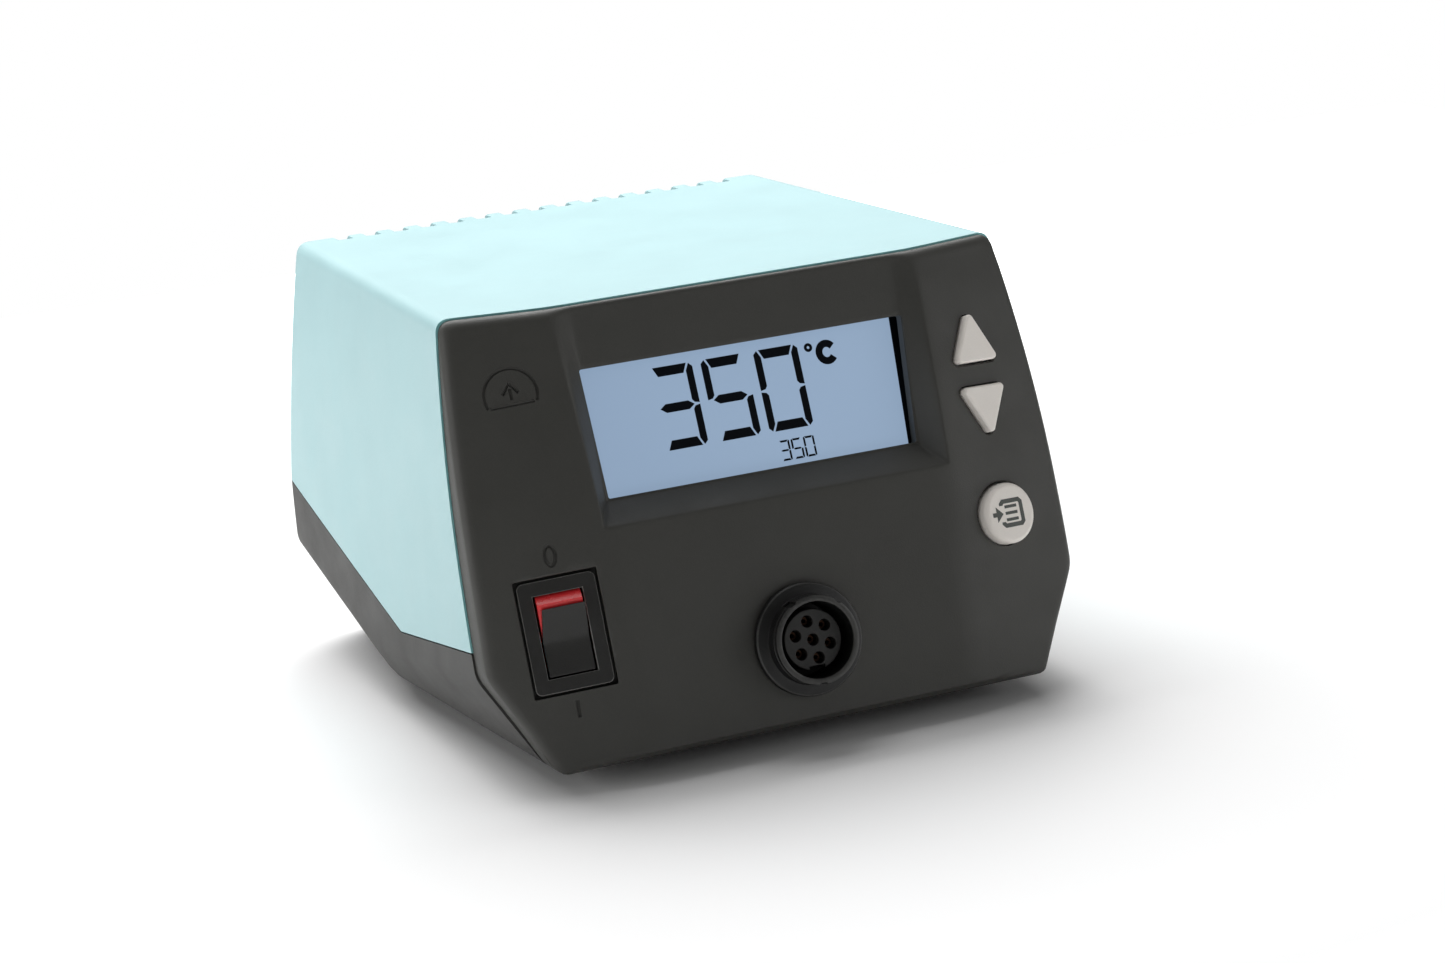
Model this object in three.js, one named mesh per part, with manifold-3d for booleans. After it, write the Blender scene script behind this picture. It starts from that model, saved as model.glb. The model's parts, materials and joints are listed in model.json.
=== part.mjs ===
// Control unit of a compact soldering station.
// Millimetres, +Z up, front face towards -Y. Heights inside the unit are measured from the flat underside
// of the housing; the finished unit is lifted by its rubber feet, and its origin is at the bottom centre.
import * as THREE from "three";
import { mergeVertices } from "three/addons/utils/BufferGeometryUtils.js";
import Module from "manifold-3d";

const wasm = await Module();
wasm.setup();

// ---------------------------------------------------------------- driving dimensions
const GAP = 0.3; // clearance between neighbouring pieces
const WALL = 2.4; // wall of the moulded housing
const FAR = 90; // reach of a cutting tool past the housing
const TOP = 88.7; // height of the flat roof
const REAR = 148.5; // depth of the rear wall
const FOOT_HEIGHT = 4; // feet below the underside
const UNIT_FRONT = -4.96; // foremost point, the rim of the tool socket
const UNIT_BACK = 150.6; // rearmost point, the handle of the fuse drawer

const HALF_WIDTH = 65.3; // at the ridge, the widest place
const SIDE_CURVE = 4.3; // how far the side curves in between ridge and roof
const REAR_TAPER = 0.034; // how much the roof narrows towards the rear, per side
const RIDGE_FRONT = 21.7; // height of the ridge at depth 0
const RIDGE_LOW = { y: 89.5, h: 7.7 }; // lowest point of the V-shaped ridge
const RIDGE_REAR = 20.5; // height of the ridge at the rear wall
const BASE_HALF = { front: 53.6, middle: 61, rear: 52 }; // half width of the underside

const FACET_SLOPE = 0.236; // each outer third of the front is angled back by this slope
const CREASE = { x: 35.1, spread: 0.054 }; // crease between centre and outer facets
const FRONT_LEAN = 0.161; // slope of the front at its foot
const FRONT_CURVE = 0.00149; // the front leans back more and more with height
const FRONT_WALL = 2.6;
const LIP = { rise: 2.6, slope: 0.5 }; // bevel under the front edge
const JOINT = { y: 6.2, slope: 0.246 }; // where the front panel meets cover and shell

const SEAM = { elbowY: 68, elbowH: 16.7, rise: 0.224, fall: 0.149 }; // cover over shell, seen from the side

const DISPLAY_LEAN = 0.245;
const WINDOW_HALF = 34.8;
const DISPLAY = { bottom: 50.1, windowTop: 76.4, y: 17.5, halfBottom: 34.6, halfTop: 35.4, wall: 2 };
const POCKET = { bottom: 46.6, halfBottom: 37.9, halfTop: 39.9, topDepth: 1.2 };

const SWITCH = { x: -48.9, h: 27.6, width: 15.3, height: 21.9, well: 0.85, sunk: 0.7 };
const ROCKER = { width: 9.3, radius: 9.45, pivotDepth: 5.2, tilt: 11 };
const BUTTON = { x: 49.2, lean: 0.3, proud: 2.1, travel: 0.8, flange: 1.1, boardDepth: 12.4 };
const ARROW = { width: 10.4, height: 9.8, corner: 0.9 };
const BUTTON_HEIGHTS = { up: 69.3, down: 55.2, menu: 34 };
const MENU_RADIUS = 6.35;
const KEY_HEIGHT = 4; // the small switch behind each button
const FLANGE = { back: -5.4, front: -4.3 }; // the button's edge inside the panel, in the button's frame

const SCREEN = { tilt: 6, sunk: 1.6 }; // it leans back more than the window before it
const LCD = { x: 38, y: 16, front: -2.3, glass: 2.8, module: 4 }; // half width and height, then depths
const CONTROL_BOARD = { left: -48, right: 41, low: -22, high: 23.5, back: -12.5, thick: 1.6 };

const SOCKET = { h: 18.2, lean: 0.215, flange: 11.5, collar: 9.05, bore: 7.7, rim: 6.1, insert: 6.2 };
const SOCKET_FACE = 2.2; // height of the insert's face above the flange
const CONTACT = { ring: 3.85, hole: 1.2, count: 6 };

const FLOOR_VENTS = { x: 38, count: 7, pitch: 3, width: 1.6, from: 62, to: 86 };
const SLOTS = { count: 15, pitch: 6.68, width: 3, depth: 6.5, bottom: 64 };
const SCREWS = [
  [-52, 50],
  [52, 50],
  [-14, 137],
  [14, 137],
];
const FEET = [
  [-43, 26],
  [43, 26],
  [-41, 128],
  [41, 128],
];

const CORE = { x: -10, y: 96, bottom: 6.3, width: 78, height: 65, stack: 36, leg: 13 };
const COIL = { reach: 11, sleeve: 1.1, flange: 1.3 };
const CLAMP = { width: 30, sheet: 1.5, foot: 7.4, hole: 5.8 };
const POWER_BOARD = { x: 10, y: 47, h: 9, width: 72, depth: 22, thick: 1.6, holes: 32 };
const HEAT_SINK = { width: 30, height: 26, back: 2.4, fins: 6, fin: 1.5, reach: 9 };
const CAPACITOR = { x: 28, radius: 8, height: 25 };
const INLET = { x: 36, h: 18.3, width: 27, height: 27, depth: 22, flange: 30 };
const DRAWER = { width: 20, height: 7.4, length: 21 };
const JACK = { x: -44, h: 20 };

// ---------------------------------------------------------------- materials
const material = (color, roughness, metalness = 0) =>
  new THREE.MeshStandardMaterial({ color, roughness, metalness });
const aqua = material(0xa2dcda, 0.5);
const shellGrey = material(0x585652, 0.6);
const panelGrey = material(0x45443f, 0.6);
const black = material(0x222222, 0.45);
const red = material(0xd0272c, 0.35);
const buttonGrey = material(0xc3bdb7, 0.5);
const rubber = material(0x2a2a2a, 0.9);
const steel = material(0xb6b8ba, 0.35, 1);
const brass = material(0xc9a45a, 0.3, 1);
const copper = material(0xa8562d, 0.35, 1);
const laminate = material(0x5c5e62, 0.5, 1);
const board = material(0x1d6b3c, 0.45);
const glass = material(0x94aac4, 0.2);
const white = material(0xe8e6de, 0.5);

// ---------------------------------------------------------------- solids
/** A closed geometry as a manifold solid. */
function solid(geometry) {
  const plain = geometry.clone();
  plain.deleteAttribute("normal");
  plain.deleteAttribute("uv");
  const merged = mergeVertices(plain, 1e-4);
  return new wasm.Manifold(
    new wasm.Mesh({
      numProp: 3,
      vertProperties: new Float32Array(merged.attributes.position.array),
      triVerts: new Uint32Array(merged.index.array),
    }),
  );
}

/** A manifold solid as a flat-shaded geometry. */
function geometryOf(made) {
  const mesh = made.getMesh();
  const indexed = new THREE.BufferGeometry();
  indexed.setAttribute("position", new THREE.BufferAttribute(mesh.vertProperties, 3));
  indexed.setIndex(new THREE.BufferAttribute(mesh.triVerts, 1));
  const flat = indexed.toNonIndexed();
  flat.computeVertexNormals();
  return flat;
}

const join = (first, ...others) => others.reduce((sum, other) => sum.add(other), first);
const cut = (first, ...tools) => tools.reduce((rest, tool) => rest.subtract(tool), first);
const meet = (first, ...others) => others.reduce((common, other) => common.intersect(other), first);

/** A box whose corners are the two given points. */
function block(x0, y0, z0, x1, y1, z1) {
  const box = new THREE.BoxGeometry(x1 - x0, y1 - y0, z1 - z0);
  return solid(box.translate((x0 + x1) / 2, (y0 + y1) / 2, (z0 + z1) / 2));
}

/** A round bar along Z from z0 to z1. */
function rod(radius, z0, z1, x = 0, y = 0, sides = 16) {
  const bar = new THREE.CylinderGeometry(radius, radius, z1 - z0, sides);
  return solid(bar.rotateX(Math.PI / 2).translate(x, y, (z0 + z1) / 2));
}

/** A unit box with the given stations along its axes, each vertex moved by the function to its place. */
function shaped(nx, ny, nz, placeOf) {
  const box = new THREE.BoxGeometry(1, 1, 1, nx, ny, nz).translate(0.5, 0.5, 0.5);
  const position = box.attributes.position;
  for (let i = 0; i < position.count; i++) {
    const u = Math.round(position.getX(i) * nx);
    const v = Math.round(position.getY(i) * ny);
    const w = Math.round(position.getZ(i) * nz);
    position.setXYZ(i, ...placeOf(u, v, w));
  }
  return solid(box);
}

/** A flat outline in local X and Y, extruded along local Z from z0 to z1. */
function plate(outline, z0, z1, curveSegments = 5) {
  const depth = z1 - z0;
  const body = new THREE.ExtrudeGeometry(outline, { depth, bevelEnabled: false, curveSegments });
  return solid(body.translate(0, 0, z0));
}

function roundedRectangle(width, height, radius) {
  const shape = new THREE.Shape();
  const x = width / 2;
  const y = height / 2;
  const corners = [
    [x - radius, y - radius, 0],
    [radius - x, y - radius, 90],
    [radius - x, radius - y, 180],
    [x - radius, radius - y, 270],
  ];
  for (const [cx, cy, start] of corners) {
    const from = THREE.MathUtils.degToRad(start);
    shape.absarc(cx, cy, radius, from, from + Math.PI / 2, false);
  }
  return shape;
}

/** A triangle with rounded corners, pointing up or down, grown outwards by an offset. */
function arrowOutline(pointing, offset = 0) {
  const half = ARROW.width / 2 - ARROW.corner;
  const rise = ARROW.height / 2 - ARROW.corner;
  const tips = [
    new THREE.Vector2(-half, -rise * pointing),
    new THREE.Vector2(half, -rise * pointing),
    new THREE.Vector2(0, rise * pointing),
  ];
  if (pointing < 0) tips.reverse();
  const shape = new THREE.Shape();
  tips.forEach((tip, i) => {
    const before = tips[(i + 2) % 3];
    const after = tips[(i + 1) % 3];
    const from = Math.atan2(tip.y - before.y, tip.x - before.x) - Math.PI / 2;
    const turn = Math.atan2(after.y - tip.y, after.x - tip.x) - Math.PI / 2;
    shape.absarc(tip.x, tip.y, ARROW.corner + offset, from, turn, false);
  });
  return shape;
}

/** An outline in depth (Y) and height (Z), extruded across the width. */
function acrossWidth(points, x0, x1) {
  const outline = new THREE.Shape(points.map(([y, z]) => new THREE.Vector2(y, z)));
  const body = new THREE.ExtrudeGeometry(outline, { depth: x1 - x0, bevelEnabled: false });
  const axes = new THREE.Matrix4().makeBasis(
    new THREE.Vector3(0, 1, 0),
    new THREE.Vector3(0, 0, 1),
    new THREE.Vector3(1, 0, 0),
  );
  return solid(body.applyMatrix4(axes).translate(x0, 0, 0));
}

// ---------------------------------------------------------------- shape of the housing
const { lerp, clamp, inverseLerp } = THREE.MathUtils;

/** Height of the ridge along the side: high at both ends, lowest past the middle. */
function ridgeHeight(y) {
  if (y < RIDGE_LOW.y) return lerp(RIDGE_FRONT, RIDGE_LOW.h, y / RIDGE_LOW.y);
  return lerp(RIDGE_LOW.h, RIDGE_REAR, (y - RIDGE_LOW.y) / (REAR - RIDGE_LOW.y));
}

/** Half width of the flat underside. */
function baseHalf(y) {
  if (y < RIDGE_LOW.y) return lerp(BASE_HALF.front, BASE_HALF.middle, y / RIDGE_LOW.y);
  return lerp(BASE_HALF.middle, BASE_HALF.rear, (y - RIDGE_LOW.y) / (REAR - RIDGE_LOW.y));
}

/** Half width above the ridge: a gently barrelled side that draws in towards the rear of the roof. */
function sideHalf(y, h) {
  const climb = clamp(inverseLerp(20, TOP, h), 0, 1);
  const upper = Math.max(0, (h - 35) / (TOP - 35));
  return HALF_WIDTH - SIDE_CURVE * climb ** 2 - REAR_TAPER * (y - 36) * upper;
}

/** Depth of the front face in the middle, and anywhere on it. */
const frontMiddle = (h) => FRONT_LEAN * h + FRONT_CURVE * h ** 2;
const creaseAt = (h) => CREASE.x + CREASE.spread * h;
const facetSetback = (x, h) => FACET_SLOPE * Math.max(0, Math.abs(x) - creaseAt(h));
const frontY = (x, h) => frontMiddle(h) + facetSetback(x, h);
const displayY = (h) => DISPLAY.y + DISPLAY_LEAN * (h - DISPLAY.bottom);

/** The whole outer body as a solid, from before the front face to the rear wall, shrunk by an inset. */
function hull(inset) {
  const depths = [UNIT_FRONT, RIDGE_LOW.y / 2, RIDGE_LOW.y, (RIDGE_LOW.y + REAR) / 2, REAR];
  const levels = [30, 42, 54, 66, 78, TOP];
  return shaped(1, depths.length - 1, levels.length + 1, (u, v, w) => {
    const y = depths[v];
    const heights = [0, ridgeHeight(y), ...levels];
    const half = w === 0 ? baseHalf(y) : sideHalf(y, heights[w]);
    const x = (u * 2 - 1) * (half - inset);
    const h = clamp(heights[w], inset, TOP - inset);
    return [x, v === depths.length - 1 ? y - inset : y, h];
  });
}

/** Everything behind a surface that follows the bow of the front: creased in plan, given depth by height. */
function behindBow(depthAt) {
  const levels = [-2, 12, 24, 36, 48, 60, 72, 84, TOP + 2];
  return shaped(3, 1, levels.length - 1, (u, v, w) => {
    const h = levels[w];
    const x = [-FAR, -creaseAt(h), creaseAt(h), FAR][u];
    return [x, v ? REAR + FAR : depthAt(h) + facetSetback(x, h), h];
  });
}

const behindFront = (setback) => behindBow((h) => frontMiddle(h) + setback);
const behindJoint = (setback) => behindBow((h) => JOINT.y + JOINT.slope * h + setback);

/** The space above (+1) or below (-1) the seam between cover and shell. */
function seamSide(direction) {
  const lift = (direction * GAP) / 2;
  const end = direction > 0 ? TOP + FAR : -FAR;
  const points = [
    [-FAR, SEAM.elbowH + SEAM.fall * (SEAM.elbowY + FAR) + lift],
    [SEAM.elbowY, SEAM.elbowH + lift],
    [REAR + FAR, SEAM.elbowH + SEAM.rise * (REAR + FAR - SEAM.elbowY) + lift],
    [REAR + FAR, end],
    [-FAR, end],
  ];
  return acrossWidth(direction > 0 ? points : points.reverse(), -FAR, FAR);
}

/** The bevel under the front edge. */
function lipCut() {
  const reach = LIP.rise / LIP.slope;
  return acrossWidth(
    [
      [-FAR, -FAR],
      [reach + FAR, -FAR],
      [-FAR, LIP.rise + LIP.slope * FAR],
    ],
    -FAR,
    FAR,
  );
}

/** The sloping pocket around the display; a wall makes the same shape larger and deeper. */
function displayPocket(wall) {
  const outward = 3; // how far past the front face the tool reaches, in pocket depths
  return shaped(6, 1, 8, (u, v, w) => {
    const climb = lerp(-0.1, 1.15, w / 8);
    const side = lerp(-1, 1, u / 6);
    const innerH = lerp(DISPLAY.bottom, TOP, climb);
    const outerH = lerp(POCKET.bottom, TOP, climb);
    const innerHalf = lerp(DISPLAY.halfBottom, DISPLAY.halfTop, climb) + wall;
    const outerHalf = lerp(POCKET.halfBottom, POCKET.halfTop, climb) + wall;
    const innerY = displayY(innerH) + wall;
    const outerY = frontMiddle(outerH);
    const step = v ? 0 : outward;
    return [
      side * lerp(innerHalf, outerHalf, step),
      lerp(innerY, Math.min(outerY, innerY - POCKET.topDepth), step),
      lerp(innerH, outerH, step),
    ];
  });
}

// ---------------------------------------------------------------- frames on the front face
/** A frame on the front: local X to the right, Y up along the face, Z out of it. */
function faceFrame(facet, x, y, h, lean) {
  const out = new THREE.Vector3(facet * FACET_SLOPE, -1, lean).normalize();
  const up = new THREE.Vector3(0, lean, 1).normalize();
  const right = new THREE.Vector3().crossVectors(up, out);
  return new THREE.Matrix4().makeBasis(right, up, out).setPosition(x, y, h);
}

const at = (x, y, z) => new THREE.Matrix4().makeTranslation(x, y, z);
const buttonFrame = (h) => faceFrame(1, BUTTON.x, frontY(BUTTON.x, h), h, BUTTON.lean);
const switchFrame = faceFrame(-1, SWITCH.x, frontY(SWITCH.x, SWITCH.h), SWITCH.h, DISPLAY_LEAN);
const socketFrame = faceFrame(0, 0, frontMiddle(SOCKET.h), SOCKET.h, SOCKET.lean);
const displayH = (DISPLAY.bottom + DISPLAY.windowTop) / 2;
const displayFrame = faceFrame(0, 0, displayY(displayH), displayH, DISPLAY_LEAN);
const screenTilt = new THREE.Matrix4().makeRotationX(-THREE.MathUtils.degToRad(SCREEN.tilt));
const screenFrame = displayFrame.clone().multiply(at(0, 0, -SCREEN.sunk)).multiply(screenTilt);
const buttonBoardH = (BUTTON_HEIGHTS.up + BUTTON_HEIGHTS.menu) / 2;
const buttonBoardFrame = buttonFrame(buttonBoardH);

/** Posts for the control board, in the screen's frame. */
const BOARD_POSTS = [
  [-44, -8],
  [37.5, 20.2],
];

const moved = (made, matrix) => solid(geometryOf(made).applyMatrix4(matrix));

/** A node: a named mesh of one solid, placed by a frame. */
function node(name, made, finish, frame) {
  const mesh = new THREE.Mesh(geometryOf(made), finish);
  mesh.name = name;
  if (frame) mesh.applyMatrix4(frame);
  return mesh;
}

// ---------------------------------------------------------------- housing
function frontPanel() {
  const body = cut(meet(hull(0), behindFront(0)), behindJoint(0), lipCut());
  const hollow = cut(meet(hull(WALL), behindFront(FRONT_WALL)), displayPocket(DISPLAY.wall));
  const width = SWITCH.width + 2 * SWITCH.well;
  const height = SWITCH.height + 2 * SWITCH.well;
  const well = block(-width / 2, -height / 2, -SWITCH.sunk - 1.8, width / 2, height / 2, 9);
  const wellWall = block(-width / 2 - 2, -height / 2 - 2, -SWITCH.sunk - 4, width / 2 + 2, height / 2 + 2, 0);
  const windowHeight = DISPLAY.windowTop - DISPLAY.bottom;
  const window = block(-WINDOW_HALF, -windowHeight / 2, -9, WINDOW_HALF, windowHeight / 2, 3);
  const boardFront = CONTROL_BOARD.back + CONTROL_BOARD.thick;
  const posts = BOARD_POSTS.map(([x, y]) => moved(rod(2.6, boardFront + GAP, 4, x, y, 12), screenFrame));
  const pilots = BOARD_POSTS.map(([x, y]) => moved(rod(1.3, boardFront, -3.2, x, y, 10), screenFrame));
  const supports = join(
    meet(moved(wellWall, switchFrame), hull(WALL / 2)),
    ...posts.map((post) => meet(post, behindFront(FRONT_WALL / 2))),
  );
  const openings = [
    displayPocket(0),
    moved(window, displayFrame),
    moved(well, switchFrame),
    moved(block(-6.9, -10.9, -12, 6.9, 10.9, 0), switchFrame),
    moved(rod(SOCKET.collar - 0.2, -20, 20, 0, 0, 32), socketFrame),
    moved(plate(arrowOutline(1, GAP), -20, 20), buttonFrame(BUTTON_HEIGHTS.up)),
    moved(plate(arrowOutline(-1, GAP), -20, 20), buttonFrame(BUTTON_HEIGHTS.down)),
    moved(rod(MENU_RADIUS + GAP, -20, 20, 0, 0, 28), buttonFrame(BUTTON_HEIGHTS.menu)),
    ...pilots,
  ];
  return cut(join(cut(body, hollow), supports), ...openings);
}

function topCover() {
  const region = [behindJoint(GAP), seamSide(1)];
  const body = meet(hull(0), ...region);
  const posts = SCREWS.map(([x, y]) => rod(4, 6 + GAP, TOP - WALL / 2, x, y, 12));
  const bores = SCREWS.map(([x, y]) => rod(1.8, 0, 19, x, y, 12));
  const slots = Array.from({ length: SLOTS.count }, (_, i) => {
    const x = (i - (SLOTS.count - 1) / 2) * SLOTS.pitch;
    const half = SLOTS.width / 2;
    return block(x - half, REAR - SLOTS.depth, SLOTS.bottom, x + half, REAR + 5, TOP + 5);
  });
  return cut(join(cut(body, hull(WALL)), ...posts), ...bores, ...slots);
}

function bottomShell() {
  const tray = cut(meet(hull(0), behindJoint(GAP), seamSide(-1)), hull(WALL), lipCut());
  const pads = [
    ...SCREWS.map(([x, y]) => rod(5, 1, 6, x, y)),
    ...clampHoles().map(([x, y]) => rod(5, 1, 6, x, y)),
    ...powerBoardHoles().map(([x, y]) => rod(3.4, 1, POWER_BOARD.h - GAP, x, y, 12)),
    ...[-1, 1].map((side) => {
      const x = CORE.x + side * 30;
      return block(x - 2, CORE.y - 17, 1, x + 2, CORE.y + 17, CORE.bottom - GAP);
    }),
  ];
  const openings = [
    ...SCREWS.flatMap(([x, y]) => [rod(1.8, -1, 9, x, y, 12), rod(3.6, -1, 3, x, y)]),
    ...clampHoles().map(([x, y]) => rod(2.1, 1.4, 9, x, y, 12)),
    ...powerBoardHoles().map(([x, y]) => rod(1.5, 1.4, 12, x, y, 10)),
    ...FEET.map(([x, y]) => rod(7.4, -1, 1, x, y, 20)),
    ...Array.from({ length: FLOOR_VENTS.count }, (_, i) => {
      const x = FLOOR_VENTS.x + i * FLOOR_VENTS.pitch;
      return block(x, FLOOR_VENTS.from, -1, x + FLOOR_VENTS.width, FLOOR_VENTS.to, WALL + 1);
    }),
    inletHole(),
    moved(rod(4.1, -WALL - 1, 1, 0, 0, 20), rearFrame(JACK.x, JACK.h)),
  ];
  return cut(join(tray, ...pads), ...openings);
}

function foot() {
  const profile = [
    [0, -FOOT_HEIGHT],
    [5.6, -FOOT_HEIGHT],
    [6.6, -FOOT_HEIGHT + 0.8],
    [7, 0.7],
    [0, 0.7],
  ].map(([r, z]) => new THREE.Vector2(r, z));
  return solid(new THREE.LatheGeometry(profile, 20).rotateX(Math.PI / 2));
}

/** A pan-head screw, head underside at z = 0 and shaft upwards. */
function screw(shaft, length, head, headHeight) {
  const body = join(rod(head, -headHeight, 0, 0, 0, 14), rod(shaft, -0.5, length, 0, 0, 10));
  return cut(body, block(-head, -0.4, -headHeight - 1, head, 0.4, -headHeight + 0.8));
}

// ---------------------------------------------------------------- display and boards
function lcdBlock(back, front) {
  return block(-LCD.x, -LCD.y, back, LCD.x, LCD.y, front);
}

function controlBoard() {
  const { left, right, low, high, back, thick } = CONTROL_BOARD;
  const holes = BOARD_POSTS.map(([x, y]) => rod(1.6, back - 1, 0, x, y, 10));
  return cut(block(left, low, back, right, high, back + thick), ...holes);
}

/** The board behind the three push buttons. */
function buttonBoard() {
  const reach = BUTTON_HEIGHTS.up - BUTTON_HEIGHTS.menu;
  return plate(roundedRectangle(11, reach + 13, 1), -BUTTON.boardDepth - 1.6, -BUTTON.boardDepth, 2);
}

/** One of the small switches that stand on the button board. */
function keySwitch() {
  const top = KEY_HEIGHT + GAP;
  return join(block(-3, -3, GAP, 3, 3, top - 0.8), rod(1.7, top - 1, top, 0, 0, 14));
}

/** Where a button's own frame lies in the frame of the board behind it. */
function buttonOnBoard(h) {
  const inverse = buttonBoardFrame.clone().invert();
  return new THREE.Vector3().setFromMatrixPosition(inverse.multiply(buttonFrame(h)));
}

/** A cap that shows, a flange that keeps it in the panel, and a stem that stops short of its key switch. */
function pushButton(h, cap, flange) {
  const keyTop = KEY_HEIGHT + GAP - BUTTON.boardDepth - buttonOnBoard(h).z;
  return join(cap, flange, rod(1.8, keyTop + BUTTON.travel + GAP, 0, 0, 0, 14));
}

function arrowButton(h, pointing) {
  return pushButton(
    h,
    plate(arrowOutline(pointing), FLANGE.back, BUTTON.proud),
    plate(arrowOutline(pointing, BUTTON.flange), FLANGE.back, FLANGE.front),
  );
}

function menuButton(h) {
  return pushButton(
    h,
    rod(MENU_RADIUS, FLANGE.back, BUTTON.proud + 0.2, 0, 0, 32),
    rod(MENU_RADIUS + BUTTON.flange, FLANGE.back, FLANGE.front, 0, 0, 24),
  );
}

// ---------------------------------------------------------------- power switch
const switchFace = -SWITCH.sunk; // front of the bezel, in the switch frame
const pivotZ = switchFace - ROCKER.pivotDepth;

/** A round bar across the switch, about the rocker's pivot. */
const pivotBar = (radius, length, sides) =>
  solid(new THREE.CylinderGeometry(radius, radius, length, sides).rotateZ(Math.PI / 2));

function switchHousing() {
  const bezel = plate(roundedRectangle(SWITCH.width, SWITCH.height, 1.2), switchFace - 1.5, switchFace, 4);
  const body = block(-6.5, -10.6, switchFace - 15, 6.5, 10.6, switchFace - 1);
  const cavity = meet(
    pivotBar(ROCKER.radius + GAP, ROCKER.width + 2 * GAP, 48),
    block(-10, -12, -6.5, 10, 12, 12),
  );
  const blades = terminalPlaces().map(([x, y]) =>
    block(x - 2.7, y - 0.7, switchFace - 20, x + 2.7, y + 0.7, switchFace - 13),
  );
  const inside = join(cavity, pivotBar(1.5, ROCKER.width + 3.2, 14)).translate([0, 0, pivotZ]);
  return cut(join(bezel, body), inside, ...blades);
}

/** The rocker about its own pivot, its two faces symmetrical and its ends concentric with the pivot. */
function switchRocker() {
  const crest = ROCKER.pivotDepth - 0.2;
  const tilt = THREE.MathUtils.degToRad(ROCKER.tilt);
  const cornerAngle = Math.asin((crest * Math.cos(tilt)) / ROCKER.radius) + tilt;
  const lowestAngle = cornerAngle - 2.2 * tilt;
  const end = Array.from({ length: 5 }, (_, i) => {
    const angle = lerp(cornerAngle, lowestAngle, i / 4);
    return [ROCKER.radius * Math.cos(angle), ROCKER.radius * Math.sin(angle)];
  });
  const rightSide = [...end, [3, -2.2]];
  const leftSide = rightSide.map(([y, z]) => [-y, z]).reverse();
  const outline = [...leftSide, [0, crest], ...rightSide].reverse();
  const cap = acrossWidth(outline, -ROCKER.width / 2, ROCKER.width / 2);
  return join(cap, pivotBar(1.15, ROCKER.width + 2.4, 12));
}

const terminalPlaces = () => [
  [-3.3, 5.5],
  [3.3, 5.5],
  [-3.3, -5.5],
  [3.3, -5.5],
];

// ---------------------------------------------------------------- tool socket
function socketShell() {
  const profile = [
    [SOCKET.bore, SOCKET.rim],
    [SOCKET.bore, -9],
    [SOCKET.collar - 0.6, -9],
    [SOCKET.collar - 0.6, 0.3],
    [SOCKET.flange, 0.3],
    [SOCKET.flange, 1.5],
    [SOCKET.flange - 0.6, 2],
    [SOCKET.collar, 2],
    [SOCKET.collar, SOCKET.rim],
    [SOCKET.bore, SOCKET.rim],
  ].map(([r, z]) => new THREE.Vector2(r, z));
  return solid(new THREE.LatheGeometry(profile, 36).rotateX(Math.PI / 2));
}

const contactPlaces = () => {
  const around = Array.from({ length: CONTACT.count }, (_, i) => {
    const angle = THREE.MathUtils.degToRad(100 + (i * 360) / CONTACT.count);
    return [CONTACT.ring * Math.cos(angle), CONTACT.ring * Math.sin(angle)];
  });
  return [[0, 0], ...around];
};

function socketInsert() {
  const base = rod(SOCKET.bore - GAP, -9, -3, 0, 0, 28);
  const face = rod(SOCKET.insert, -4, 2 + SOCKET_FACE - 0.9, 0, 0, 28);
  const holes = contactPlaces().map(([x, y]) => rod(CONTACT.hole, -12, 10, x, y, 10));
  const keyway = block(-1.5, -SOCKET.insert - 1, -2.9, 1.5, -SOCKET.insert + 1.1, 9);
  return cut(join(base, face), ...holes, keyway);
}

function socketContact() {
  return cut(rod(CONTACT.hole - GAP, -12.5, 1.4, 0, 0, 10), rod(0.5, -4, 3, 0, 0, 8));
}

function socketNut() {
  const hexagon = new THREE.CylinderGeometry(11.4, 11.4, 2.6, 6).rotateX(Math.PI / 2);
  return cut(solid(hexagon.translate(0, 0, -4.5)), rod(SOCKET.collar - 0.6 + GAP, -9, 0, 0, 0, 28));
}

// ---------------------------------------------------------------- transformer
const clampHoles = () => [-1, 1].map((side) => [CORE.x + side * (CORE.width / 2 + CLAMP.hole), CORE.y]);

/** Laminated core: three upright legs, with the coils on the middle one. */
function transformerCore() {
  const { width, height, stack, leg } = CORE;
  const windows = [-1, 1].map((side) => {
    const from = side < 0 ? -width / 2 + leg : leg;
    return block(from, -stack, leg, from + leg, stack, height - leg);
  });
  return cut(block(-width / 2, -stack / 2, 0, width / 2, stack / 2, height), ...windows);
}

const coilZ = { low: CORE.leg + GAP, high: CORE.height - CORE.leg - GAP };
const sleeveX = CORE.leg + GAP + COIL.sleeve;
const sleeveY = CORE.stack / 2 + GAP + COIL.sleeve;

function ring(outerX, outerY, innerX, innerY, z0, z1) {
  const outer = roundedRectangle(2 * outerX, 2 * outerY, 3);
  return cut(plate(outer, z0, z1, 3), block(-innerX, -innerY, z0 - 1, innerX, innerY, z1 + 1));
}

function bobbin() {
  const outerX = 2 * CORE.leg - GAP;
  const outerY = CORE.stack / 2 + COIL.reach + 1;
  const innerX = CORE.leg + GAP;
  const innerY = CORE.stack / 2 + GAP;
  return join(
    ring(outerX, outerY, innerX, innerY, coilZ.low, coilZ.low + COIL.flange),
    ring(outerX, outerY, innerX, innerY, coilZ.high - COIL.flange, coilZ.high),
    cut(
      block(-sleeveX, -sleeveY, coilZ.low + 0.5, sleeveX, sleeveY, coilZ.high - 0.5),
      block(-innerX, -innerY, 0, innerX, innerY, CORE.height),
    ),
  );
}

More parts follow.
